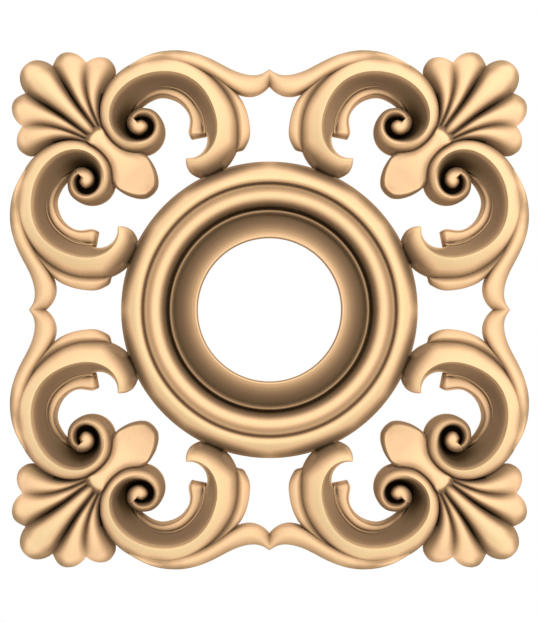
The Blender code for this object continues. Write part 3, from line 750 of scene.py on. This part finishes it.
@dataclass
class Shell(Form):
    """Scallop shell: the middle lobe on the diagonal and the two lobes on one side of it."""

    name: str = "shell"
    behind: float = 4.2
    middle_crest: Table = ((170.0, 170.0), (190.0, 190.0), (205.0, 205.0), (222.0, 222.0), (236.0, 236.0))
    middle_heights: Row = (20.0, 24.0, 27.5, 29.6, 29.0, 24.0)
    middle_end: Table = ((220.4, 246.4), (228.0, 249.2), (236.0, 249.2), (241.6, 246.6), (244.3, 244.3))
    side_crest: Table = ((167.8, 174.6), (183.0, 200.0), (190.0, 213.0), (196.2, 230.0), (200.4, 248.0))
    side_heights: Row = (18.5, 20.2, 22.0, 23.3, 23.4, 21.4)
    side_outer_end: Table = ((185.8, 250.2), (190.8, 254.4), (196.6, 256.9), (202.5, 257.5))
    side_inner_end: Table = ((214.8, 248.0), (212.0, 252.6), (208.0, 256.0), (202.5, 257.5))
    last_crest: Table = ((164.6, 174.8), (176.0, 203.0), (177.5, 215.0), (175.4, 231.0), (171.4, 245.0))
    last_heights: Row = (18.0, 19.4, 21.0, 21.9, 21.6, 19.2)
    last_scroll_end: Table = ((154.8, 241.6), (157.4, 247.6), (162.4, 251.4), (169.0, 252.6))
    last_outer_end: Table = ((181.0, 248.6), (177.2, 250.8), (173.2, 252.1), (169.0, 252.6))
    groove_inner: Table = ((169.0, 174.4), (184.6, 194.5), (195.6, 209.9), (206.9, 227.9), (216.6, 243.9))
    groove_outer: Table = ((166.6, 174.6), (177.4, 198.4), (182.2, 213.1), (184.8, 230.5), (183.4, 247.2))
    groove_scroll: Table = ((162.4, 174.8), (168.4, 197.0), (167.2, 212.0), (160.6, 226.0), (154.6, 236.6))
    inner_heights: Row = (16.0, 13.4, 10.2, 9.2, 10.2, 12.6, 14.0)
    outer_heights: Row = (16.0, 14.8, 13.4, 13.4, 14.4, 16.4, 14.0)
    scroll_heights: Row = (15.0, 11.0, 7.6, 6.4, 6.4, 7.4, 14.0)
    roundness: float = 0.7

    def fronts(self) -> list[np.ndarray]:
        """The three lobes, joined along their shared grooves.

        Returns:
            One grid for each lobe.
        """
        flipped = tuple((z, x) for x, z in self.groove_inner)
        flipped_end = tuple((z, x) for x, z in self.middle_end)
        middle = Lobe(
            self.groove_inner, self.middle_end, flipped, flipped_end,
            self.middle_crest, self.middle_heights)
        side = Lobe(
            self.groove_outer, self.side_outer_end, self.groove_inner, self.side_inner_end,
            self.side_crest, self.side_heights)
        last = Lobe(
            self.groove_scroll, self.last_scroll_end, self.groove_outer, self.last_outer_end,
            self.last_crest, self.last_heights)
        grooves = (
            (middle, self.inner_heights, self.inner_heights),
            (side, self.outer_heights, self.inner_heights),
            (last, self.scroll_heights, self.outer_heights))
        return [lobe.front(left, right, self.roundness) for lobe, left, right in grooves]


@dataclass
class Stem(Form):
    """Stem and spoon on the diagonal: a shallow dish, a round waist and a collar at the shell."""

    name: str = "stem"
    behind: float = 3.8
    rows: int = 56
    lines: Table = (
        (163.4, 0.0, 168.8, 0.0, 17.8, 18.8, 8.0),
        (164.4, 6.2, 169.5, 4.6, 17.6, 18.8, 8.0),
        (168.0, 11.6, 172.2, 8.8, 17.2, 18.8, 8.4),
        (175.0, 16.8, 177.6, 13.4, 17.2, 19.0, 9.0),
        (184.0, 20.6, 185.2, 17.4, 18.0, 19.4, 10.0),
        (193.0, 22.2, 193.2, 19.8, 19.8, 20.2, 12.0),
        (200.0, 20.8, 200.0, 17.4, 21.8, 20.8, 15.0),
        (207.0, 15.6, 207.0, 11.4, 23.8, 21.8, 16.4),
        (214.0, 11.0, 214.0, 7.0, 25.4, 23.2, 17.2),
        (222.0, 8.4, 222.0, 4.8, 26.6, 24.8, 17.6),
        (230.0, 7.8, 230.0, 4.4, 27.6, 25.8, 17.6),
        (238.0, 8.6, 237.6, 5.2, 28.6, 27.0, 18.0),
        (244.6, 10.0, 243.0, 6.6, 29.2, 28.0, 18.4),
        (249.0, 10.2, 245.8, 6.6, 28.8, 27.8, 18.4),
        (252.0, 8.2, 247.4, 5.2, 28.2, 27.4, 18.0),
        (253.4, 4.4, 248.2, 2.8, 27.8, 27.2, 17.6),
        (253.8, 0.0, 248.4, 0.0, 27.6, 27.2, 17.6))
    bowl: float = 2.2
    seam: float = 0.2
    chamfer: float = 1.7
    waist_from: Pair = (190.0, 204.0)
    collar_to: Pair = (246.0, 251.0)
    edge_columns: int = 9
    bowl_columns: int = 16

    def beside_diagonal(self, line: np.ndarray, reach: np.ndarray) -> np.ndarray:
        """Plan places at distances along the diagonal and to the side of it."""
        return np.stack([line + reach, line - reach], axis=1) / math.sqrt(2.0)

    def fronts(self) -> list[np.ndarray]:
        """Sections across the diagonal between an edge, an arris and the middle.

        Columns: edge and its reach to the side, arris and its reach, then the heights
        of middle, arris and edge.  The middle falls or rises to the arris by a power
        of the share.  Outside the arris the spoon has a hollow chamfer, a power of the
        share left, and the waist and collar a quarter of an ellipse.  The first and
        last sections are lines a little off the diagonal, where both sides meet.

        Returns:
            The one grid of the front.
        """
        table = np.asarray(self.lines)
        knots = np.linspace(0.0, 1.0, len(table))
        at = np.linspace(0.0, 1.0, self.rows)
        line, half, inner_line, inner_half, middle, arris, low = np.stack(
            [firm_curve(knots, column, at) for column in table.T])
        held = np.interp(line, self.waist_from, (0.0, 1.0))
        rounded = np.interp(line, self.waist_from + self.collar_to, (0.0, 1.0, 1.0, 0.1))[:, None]
        turn = np.linspace(0.0, 0.5 * math.pi, self.edge_columns)
        outer_share = np.cos(turn)
        inner_share = np.linspace(-1.0, 1.0, self.bowl_columns)
        sides = []
        for sign in (-1.0, 1.0):
            reach, inner_reach = sign * half, sign * inner_half
            reach[[0, -1]] = inner_reach[[0, -1]] = self.seam
            edge = SIGHT.spread(self.beside_diagonal(line, reach), low * held)
            rim = SIGHT.spread(self.beside_diagonal(inner_line, inner_reach), arris)
            plan = between(rim, edge, outer_share[None, :])
            rise = rounded * np.sin(turn) + (1.0 - rounded) * (1.0 - outer_share) ** self.chamfer
            level = low[:, None] + (arris - low)[:, None] * rise
            sides.append((plan, level, rim))
        (left, left_level, left_rim), (right, right_level, right_rim) = sides
        half_way = 0.5 * (1.0 + inner_share[1:-1])
        bowl_plan = between(left_rim, right_rim, half_way[None, :])
        hollow = np.abs(inner_share[1:-1])[None, :] ** self.bowl
        bowl_level = middle[:, None] + (arris - middle)[:, None] * hollow
        plan = np.concatenate([left, bowl_plan, right[:, ::-1]], axis=1)
        return [relief(plan, np.concatenate([left_level, bowl_level, right_level[:, ::-1]], axis=1))]


@dataclass
class HollowFloor(Form):
    """Round floor left low at the bottom of a deep hollow."""

    name: str = "floor"
    behind: float = 4.6
    centre: Pair = (130.8, 184.2)
    radius: float = 17.6
    height: float = 5.6
    sides: int = 40

    def fronts(self) -> list[np.ndarray]:
        """Flat disc as rings of points round the centre.

        Returns:
            The one grid of the front.
        """
        angle = np.linspace(0.0, 2.0 * math.pi, self.sides + 1)
        reach = np.asarray([0.0, 1.0]) * self.radius
        plan = np.asarray(self.centre) + reach[:, None, None] * rays(angle)[None, :, :]
        plan[:, -1] = plan[:, 0]
        return [relief(plan, np.full(plan.shape[:2], self.height))]


def make_object(
    name: str, points: np.ndarray, faces: np.ndarray, group: bpy.types.Collection,
) -> bpy.types.Object:
    """Make a mesh object from arrays.

    Args:
        name: name of the object and its mesh.
        points: rows of x, y, z in metres.
        faces: rows of point numbers.
        group: collection the object goes into.

    Returns:
        The new object.
    """
    mesh = bpy.data.meshes.new(name)
    mesh.from_pydata(points.tolist(), [], faces.tolist())
    mesh.update()
    thing = bpy.data.objects.new(name, mesh)
    group.objects.link(thing)
    return thing


def read_all(items: Any, key: str, kind: type, width: int = 1) -> np.ndarray:
    """Read one property of all of a mesh's vertices, corners or faces.

    Args:
        items: the mesh's collection.
        key: name of the property.
        kind: type of its numbers.
        width: how many numbers each item has.

    Returns:
        One row for each item.
    """
    values = np.empty(len(items) * width, dtype=kind)
    items.foreach_get(key, values)
    return values.reshape(-1, width)


def apply_modifiers(thing: bpy.types.Object) -> None:
    """Replace the object's mesh by the result of its modifiers.

    Args:
        thing: object whose mesh is replaced.
    """
    bpy.context.view_layer.update()
    graph = bpy.context.evaluated_depsgraph_get()
    result = bpy.data.meshes.new_from_object(thing.evaluated_get(graph))
    thing.modifiers.clear()
    thing.data = result


@dataclass
class ShadeDepthPad:
    """Soft round-faced pad laid over the carving, and how much painted shade each point gets.

    The pad's face bulges with one radius.  The surface it can touch is found by
    lifting the relief by the pad's shape and lowering it again: the highest of all
    neighbours less distance squared over twice the radius, then the same upside
    down.  How far the wood lies below that surface is how deep in a hollow it is,
    and the material paints shade by it, darker the deeper.  Beside open ground, where
    the walls take light from the open side, it counts as less deep.  Fine arrises that
    stand up from their surroundings count as less deep, a painted highlight; low
    places get a little more painted shade, and the flat back keeps one even tone.
    """

    radius: float = 32.0
    pitch: float = 0.5
    low: float = -70.0
    high: float = 272.0
    reach: int = 110
    edge_cells: int = 6
    edge_depth: float = 5.8
    low_below: float = 24.0
    low_range: float = 4.5
    low_place_shade: float = 1.0
    back_height: float = 0.5
    back_depth: float = 2.4
    arris_radius: float = 2.5
    arris_height: float = 0.8
    arris_highlight: float = 0.5
    arris_reach: int = 14

    def relief(self, forms: list[Form]) -> np.ndarray:
        """Heights of all forms on a square net, mirrored about the diagonal and the middle.

        Args:
            forms: the carved forms of one eighth.

        Returns:
            Net of heights in millimetres, indexed by x and z.
        """
        count = int(round((self.high - self.low) / self.pitch)) + 1
        net = np.zeros((count, count))
        for grid in (grid for form in forms for grid in form.fronts()):
            fine = self.refined(self.refined(grid).transpose(1, 0, 2))
            place = fine.reshape(-1, 3)
            for x, z in ((place[:, 0], place[:, 1]), (place[:, 1], place[:, 0])):
                i = np.round((np.abs(x) - self.low) / self.pitch).astype(int)
                j = np.round((np.abs(z) - self.low) / self.pitch).astype(int)
                inside = (i < count) & (j < count)
                np.maximum.at(net, (i[inside], j[inside]), place[inside, 2])
        middle = int(round(-self.low / self.pitch))
        net[:middle] = net[2 * middle:middle:-1]
        net[:, :middle] = net[:, 2 * middle:middle:-1]
        return net

    def refined(self, grid: np.ndarray) -> np.ndarray:
        """Add points between the rows of a grid so that no step is longer than the pitch.

        Args:
            grid: rows of (x, z, height).

        Returns:
            The same grid with more rows.
        """
        steps = np.linalg.norm(np.diff(grid, axis=0), axis=2).max()
        times = int(math.ceil(steps / self.pitch)) + 1
        at = np.linspace(0.0, len(grid) - 1.0, (len(grid) - 1) * times + 1)
        cell = np.minimum(at.astype(int), len(grid) - 2)
        share = (at - cell)[:, None, None]
        return grid[cell] * (1.0 - share) + grid[cell + 1] * share

    def lifted(self, net: np.ndarray, radius: float, reach: int) -> np.ndarray:
        """Highest of all neighbours less distance squared over twice the radius.

        Args:
            net: heights on the square net.
            radius: radius of the pad in millimetres.
            reach: how many cells away a neighbour may be.

        Returns:
            The lifted net.
        """
        for axis in (0, 1):
            raised = net.copy()
            for step in range(1, reach):
                drop = (step * self.pitch) ** 2 / (2.0 * radius)
                for way in (step, -step):
                    np.maximum(raised, np.roll(net, way, axis) - drop, out=raised)
            net = raised
        return net

    def beside_openings(self, net: np.ndarray) -> np.ndarray:
        """Cells of the net with open ground within a few cells of them.

        Args:
            net: heights on the square net.

        Returns:
            True for each such cell.
        """
        near = net <= 0.0
        for axis in (0, 1):
            for step in range(1, self.edge_cells):
                near = near | np.roll(near, 1, axis) | np.roll(near, -1, axis)
        return near

    def painted_shade_depths(self, forms: list[Form], places: np.ndarray) -> np.ndarray:
        """Depth of painted shade at places on the panel, from the depth below the pad's face.

        Args:
            forms: the carved forms of one eighth.
            places: rows of x, y, z in metres.

        Returns:
            Depths in millimetres, one for each place.
        """
        net = self.relief(forms)
        face = -self.lifted(-self.lifted(net, self.radius, self.reach), self.radius, self.reach)
        # Painted highlight: fine arrises that stand up from their surroundings count as less deep, so they
        # take less painted shade
        size, reach = self.arris_radius, self.arris_reach
        filled = -self.lifted(-self.lifted(net, size * 0.5, reach), size * 0.5, reach)
        beneath = self.lifted(-self.lifted(-filled, size, reach), size, reach)
        standing = np.clip((filled - beneath) / self.arris_height, 0.0, 1.0)
        face = filled + (face - filled) * (1.0 - self.arris_highlight * standing)
        across = (np.abs(places[:, [0, 2]]) / MM - self.low) / self.pitch
        cell = np.clip(across.astype(int), 0, len(face) - 2)
        i, j = cell.T
        u, v = (across - cell).T
        level = face[i, j] * (1 - u) * (1 - v) + face[i + 1, j] * u * (1 - v)
        level += face[i, j + 1] * (1 - u) * v + face[i + 1, j + 1] * u * v
        height = -places[:, 1] / MM
        depth = np.maximum(level - height, 0.0)
        # Low places get a little more painted shade
        depth += self.low_place_shade * np.clip((self.low_below - height) / self.low_range, 0.0, 1.0)
        # Beside open ground the painted shade is capped, as the walls there take light from the open side
        near = self.beside_openings(net)[i, j]
        depth = np.where(near, np.minimum(depth, self.edge_depth), depth)
        return np.where(height < self.back_height, self.back_depth, depth)


@dataclass
class CarvedPanel:
    """The whole panel, worked from its forms by symmetry."""

    name: str = "panel_carving"
    sharp_angle: float = 32.0
    slip: float = 0.004
    floor_step: float = 0.3
    floors: tuple[tuple[float, float, float], ...] = (
        (130.8, 184.2, 17.6), (142.6, 202.6, 12.0), (167.5, 211.0, 11.0))

    def forms(self) -> list[Form]:
        """Every carved form of one eighth, the ring apart."""
        hollows = [
            HollowFloor(
                name=f"floor_{number}", behind=HollowFloor.behind + self.floor_step * number,
                centre=(x, z), radius=radius)
            for number, (x, z, radius) in enumerate(self.floors)]
        return [Scroll(), Eye(), Lip(), LongLeaf(), ShortLeaf(), Stem(), Shell(), *hollows]

    def wedge(self, group: bpy.types.Collection) -> bpy.types.Object:
        """Block that keeps one eighth of the panel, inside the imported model's box.

        Args:
            group: collection the block goes into.

        Returns:
            The block.
        """
        low, high = CAD_BOX
        far = min(high[0], high[2])
        front = low[1]
        plan = ((0.0, 0.0), (far, far), (0.0, far))
        points = np.asarray([(x, y, z) for y in (0.0, front) for x, z in plan])
        faces = np.asarray([
            (0, 2, 1), (3, 4, 5), (0, 1, 4), (0, 4, 3), (1, 2, 5), (1, 5, 4), (2, 0, 3), (2, 3, 5)])
        block = make_object("eighth", points, faces, group)
        normal = block.data.polygons[0].normal
        if normal.y < 0.0:
            block.data.flip_normals()
        return block

    def work(
        self, target: bpy.types.Object, way: Trim, tool: bpy.types.Object | bpy.types.Collection,
    ) -> None:
        """Work one solid, or all solids of a collection, into the target.

        Args:
            target: object that is changed.
            way: whether the tool is added or trims the target.
            tool: object or collection of solids.
        """
        modifier = target.modifiers.new("Work", "BOOLEAN")
        modifier.operation = way.value
        modifier.solver = "EXACT"
        if isinstance(tool, bpy.types.Collection):
            modifier.operand_type = "COLLECTION"
            modifier.collection = tool
            modifier.use_self = True
        else:
            modifier.object = tool
        apply_modifiers(target)

    def open_rims(self, thing: bpy.types.Object) -> None:
        """Take away the cut faces on the two mirror planes and set their rims on the planes.

        Args:
            thing: the eighth, changed in place.
        """
        mesh = thing.data
        places = read_all(mesh.vertices, "co", float, 3)
        slip = self.slip * MM
        on_side = np.abs(places[:, 0]) < slip
        on_corner = np.abs(places[:, 0] - places[:, 2]) < slip * 1.5
        places[on_side, 0] = 0.0
        middle = (places[:, 0] + places[:, 2]) * 0.5
        places[on_corner, 0] = middle[on_corner]
        places[on_corner, 2] = middle[on_corner]
        loops = read_all(mesh.loops, "vertex_index", np.int32)[:, 0]
        totals = read_all(mesh.polygons, "loop_total", np.int32)[:, 0]
        starts = np.concatenate([[0], np.cumsum(totals)[:-1]])
        side = np.add.reduceat(on_side[loops].astype(int), starts) == totals
        corner = np.add.reduceat(on_corner[loops].astype(int), starts) == totals
        kept = ~(side | corner)
        faces = [loops[s:s + n].tolist() for s, n in zip(starts[kept], totals[kept])]
        opened = bpy.data.meshes.new(mesh.name)
        opened.from_pydata(places.tolist(), [], faces)
        opened.update()
        thing.data = opened

    def mirror(self, thing: bpy.types.Object, plane: MirrorPlane) -> None:
        """Mirror the piece about the diagonal, or about both upright and level planes.

        Args:
            thing: the piece, changed in place.
            plane: which way it is mirrored.
        """
        turn = Matrix.Rotation(math.radians(plane.value), 4, "Y")
        thing.data.transform(turn)
        modifier = thing.modifiers.new("Mirror", "MIRROR")
        modifier.use_axis[0] = plane is MirrorPlane.UPRIGHT
        modifier.use_axis[2] = True
        modifier.use_clip = True
        modifier.use_mirror_merge = True
        modifier.merge_threshold = WELD * MM
        apply_modifiers(thing)
        thing.data.transform(turn.inverted())

    def build(self) -> bpy.types.Object:
        """Make the finished mesh of the panel.

        Returns:
            The panel's object, smooth but for its arrises and valleys.
        """
        group = bpy.data.collections.new("panel")
        bench = bpy.data.collections.new("bench")
        bpy.context.scene.collection.children.link(group)
        bpy.context.scene.collection.children.link(bench)
        panel = RingMoulding().build(group)
        panel.name = self.name
        for form in self.forms():
            made = form.build(bench)
            LOG.info("form %s: %d triangles", made.name, len(made.data.polygons))
        self.work(panel, Trim.UNITE, bench)
        wedge = self.wedge(bench)
        self.work(panel, Trim.KEEP_SHARED, wedge)
        self.open_rims(panel)
        self.mirror(panel, MirrorPlane.DIAGONAL)
        self.mirror(panel, MirrorPlane.UPRIGHT)
        for made in list(bench.objects):
            bpy.data.objects.remove(made, do_unlink=True)
        bpy.data.collections.remove(bench)
        mesh = panel.data
        mesh.name = self.name
        mesh.polygons.foreach_set("use_smooth", np.ones(len(mesh.polygons), dtype=bool))
        mesh.set_sharp_from_angle(angle=math.radians(self.sharp_angle))
        places = read_all(mesh.vertices, "co", float, 3)
        # Painted shade depth at every point, kept as an attribute for the material
        painted_shade_depths = ShadeDepthPad().painted_shade_depths([RingMoulding(), *self.forms()], places)
        hollow = mesh.attributes.new(PAINTED_SHADE_DEPTH, "FLOAT", "POINT")
        hollow.data.foreach_set("value", painted_shade_depths)
        mesh.update()
        return panel


def linear(hex_colour: str) -> tuple[float, float, float, float]:
    """Turn an sRGB hex colour into linear light with full opacity.

    Args:
        hex_colour: six hex digits after a hash sign.

    Returns:
        Red, green, blue and opacity.
    """
    raw = np.asarray([int(hex_colour[i:i + 2], 16) for i in (1, 3, 5)]) / 255.0
    light = np.where(raw <= 0.04045, raw / 12.92, ((raw + 0.055) / 1.055) ** 2.4)
    return (float(light[0]), float(light[1]), float(light[2]), 1.0)


def add_node(
    tree: bpy.types.NodeTree, kind: str, settings: dict[str, Any] | None = None,
    inputs: dict[Any, Any] | None = None,
) -> bpy.types.Node:
    """Add a node with its settings and links.

    Args:
        tree: node tree the node goes into.
        kind: Blender's identifier of the node.
        settings: properties of the node.
        inputs: values or sockets for its inputs, by name or number.

    Returns:
        The new node.
    """
    node = tree.nodes.new(kind)
    for key, value in (settings or {}).items():
        setattr(node, key, value)
    for key, value in (inputs or {}).items():
        if isinstance(value, bpy.types.NodeSocket):
            tree.links.new(value, node.inputs[key])
        else:
            node.inputs[key].default_value = value
    return node


@dataclass(frozen=True)
class CarvedLimewood:
    """Limewood, carved, sanded and left matt, with painted shade in the hollows.

    Lime is pale and very even: its own warm pale colour shows on the crests, with a
    painted highlight on fine arrises, and painted shade darkens the coves to near black.
    """

    # The wood's own colour at nought depth, then painted shade, darker with depth down to near black
    wood_and_painted_shade: tuple[tuple[float, str], ...] = (
        (0.0, "#E6C999"), (0.7, "#E8C396"), (1.6, "#D6AF87"), (3.0, "#BA9872"), (5.0, "#96795A"),
        (7.5, "#7C624A"), (10.0, "#6C573F"), (13.0, "#41301C"), (17.0, "#191108"), (22.0, "#080502"))
    roughness: float = 0.85
    sheen_level: float = 0.03
    grain_mm: float = 0.9
    grain_length: float = 16.0
    grain_detail: float = 4.0
    grain_roughness: float = 0.55
    grain_span: Pair = (0.3, 0.7)
    grain_tint: Pair = (0.97, 1.02)
    pore_strength: float = 0.12
    pore_mm: float = 0.1

    def make(self) -> bpy.types.Material:
        """Build the node material.

        Returns:
            The material.
        """
        material = bpy.data.materials.new("carved_limewood")
        material.use_nodes = True
        tree = material.node_tree
        shader = tree.nodes["Principled BSDF"]
        deepest = self.wood_and_painted_shade[-1][0]
        # Painted shade: the colour is read from the ramp by the painted shade depth attribute
        depth = add_node(tree, "ShaderNodeAttribute", {"attribute_name": PAINTED_SHADE_DEPTH})
        scaled = add_node(tree, "ShaderNodeMapRange", inputs={
            "Value": depth.outputs["Fac"], "From Max": deepest})
        painted_shade_ramp = add_node(tree, "ShaderNodeValToRGB", inputs={"Fac": scaled.outputs["Result"]})
        ramp = painted_shade_ramp.color_ramp
        ramp.elements[0].color = linear(self.wood_and_painted_shade[0][1])
        ramp.elements[1].color = linear(self.wood_and_painted_shade[-1][1])
        for place, colour in self.wood_and_painted_shade[1:-1]:
            ramp.elements.new(place / deepest).color = linear(colour)
        place = add_node(tree, "ShaderNodeTexCoord")
        across = 1.0 / (self.grain_mm * MM)
        stretched = add_node(tree, "ShaderNodeMapping", inputs={
            "Vector": place.outputs["Object"], "Scale": (across, across, across / self.grain_length)})
        grain = add_node(tree, "ShaderNodeTexNoise", inputs={
            "Vector": stretched.outputs["Vector"], "Scale": 1.0,
            "Detail": self.grain_detail, "Roughness": self.grain_roughness})
        fleck = add_node(tree, "ShaderNodeMapRange", inputs={
            "Value": grain.outputs["Fac"], "From Min": self.grain_span[0], "From Max": self.grain_span[1],
            "To Min": self.grain_tint[0], "To Max": self.grain_tint[1]})
        tinted = add_node(tree, "ShaderNodeVectorMath", {"operation": "SCALE"}, {
            0: painted_shade_ramp.outputs["Color"], "Scale": fleck.outputs["Result"]})
        tree.links.new(tinted.outputs["Vector"], shader.inputs["Base Color"])
        shader.inputs["Roughness"].default_value = self.roughness
        shader.inputs["Specular IOR Level"].default_value = self.sheen_level
        bump = add_node(tree, "ShaderNodeBump", inputs={
            "Strength": self.pore_strength, "Distance": self.pore_mm * MM, "Height": grain.outputs["Fac"]})
        tree.links.new(bump.outputs["Normal"], shader.inputs["Normal"])
        return material


@dataclass(frozen=True)
class PaleFloor:
    """Plain pale studio floor, matt paint that gives no pattern of its own."""

    colour: str = "#E8E6E2"
    roughness: float = 0.8

    def make(self) -> bpy.types.Material:
        """Build the node material.

        Returns:
            The material.
        """
        material = bpy.data.materials.new("pale_floor_paint")
        material.use_nodes = True
        shader = material.node_tree.nodes["Principled BSDF"]
        shader.inputs["Base Color"].default_value = linear(self.colour)
        shader.inputs["Roughness"].default_value = self.roughness
        return material


@dataclass
class Studio:
    """Camera in front of the panel, soft lights, a white surround and a pale floor."""

    camera_place: tuple[float, float, float] = (-0.00093, -1.025, -0.00117)
    sensor: float = 36.0
    lens: float = 57.9
    key_place: tuple[float, float, float] = (0.85, -1.65, 1.35)
    key_size: float = 0.5
    key_power: float = 24.0
    fill_place: tuple[float, float, float] = (-0.5, -1.8, -0.2)
    fill_size: float = 1.6
    fill_power: float = 3.0
    ambient: float = 0.93
    floor_level: float = -0.6
    floor_corners: Table = ((-1.6, -1.5), (1.6, -1.5), (1.6, 0.7), (-1.6, 0.7))

    def camera(self) -> bpy.types.Object:
        """Camera square on to the panel, a metre off, as in the photograph.

        Returns:
            The camera's object.
        """
        data = bpy.data.cameras.new("camera")
        data.sensor_fit = "AUTO"
        data.sensor_width = self.sensor
        data.lens = self.lens
        thing = bpy.data.objects.new("camera", data)
        thing.location = self.camera_place
        thing.rotation_euler = (math.radians(90.0), 0.0, 0.0)
        bpy.context.scene.collection.objects.link(thing)
        bpy.context.scene.camera = thing
        return thing

    def lamp(
        self, name: str, place: tuple[float, float, float], size: float, power: float,
    ) -> bpy.types.Object:
        """Square soft light that looks at the middle of the panel.

        Args:
            name: name of the light.
            place: where it stands, in metres.
            size: length of its side in metres.
            power: its power in watts.

        Returns:
            The light's object.
        """
        data = bpy.data.lights.new(name, "AREA")
        data.shape = "SQUARE"
        data.size = size
        data.energy = power
        thing = bpy.data.objects.new(name, data)
        thing.location = place
        thing.rotation_euler = (-Vector(place)).to_track_quat("-Z", "Y").to_euler()
        bpy.context.scene.collection.objects.link(thing)
        return thing

    def surround(self) -> None:
        """White to the camera, and a little less than white as light on the panel."""
        world = bpy.data.worlds.new("studio")
        world.use_nodes = True
        tree = world.node_tree
        tree.nodes.clear()
        seen = add_node(tree, "ShaderNodeLightPath")
        strength = add_node(tree, "ShaderNodeMapRange", inputs={
            "Value": seen.outputs["Is Camera Ray"], "To Min": self.ambient, "To Max": 1.0})
        light = add_node(tree, "ShaderNodeBackground", inputs={
            "Color": (1.0, 1.0, 1.0, 1.0), "Strength": strength.outputs["Result"]})
        add_node(tree, "ShaderNodeOutputWorld", inputs={"Surface": light.outputs["Background"]})
        bpy.context.scene.world = world

    def floor(self) -> bpy.types.Object:
        """Floor below the panel, out of the camera's sight.

        Returns:
            The floor's object.
        """
        points = np.asarray([(x, y, self.floor_level) for x, y in self.floor_corners])
        thing = make_object("floor", points, np.asarray([(0, 1, 2, 3)]), bpy.context.scene.collection)
        thing.data.materials.append(PaleFloor().make())
        return thing

    def build(self) -> None:
        """Set up camera, lights, surround and floor."""
        self.camera()
        self.lamp("key", self.key_place, self.key_size, self.key_power)
        self.lamp("fill", self.fill_place, self.fill_size, self.fill_power)
        self.surround()
        self.floor()
        bpy.context.scene.view_settings.view_transform = "Standard"


def main() -> None:
    """Build the panel and the studio, and tie the panel to the frame."""
    logging.basicConfig(level=logging.INFO, format="%(message)s")
    panel = CarvedPanel().build()
    panel.data.materials.clear()
    panel.data.materials.append(CarvedLimewood().make())
    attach(panel, "root")
    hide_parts(NODE)
    LOG.info("panel %s: %d triangles", panel.name, sum(len(p.vertices) - 2 for p in panel.data.polygons))
    Studio().build()
    LOG.info("studio ready")


if __name__ == "__main__":
    main()
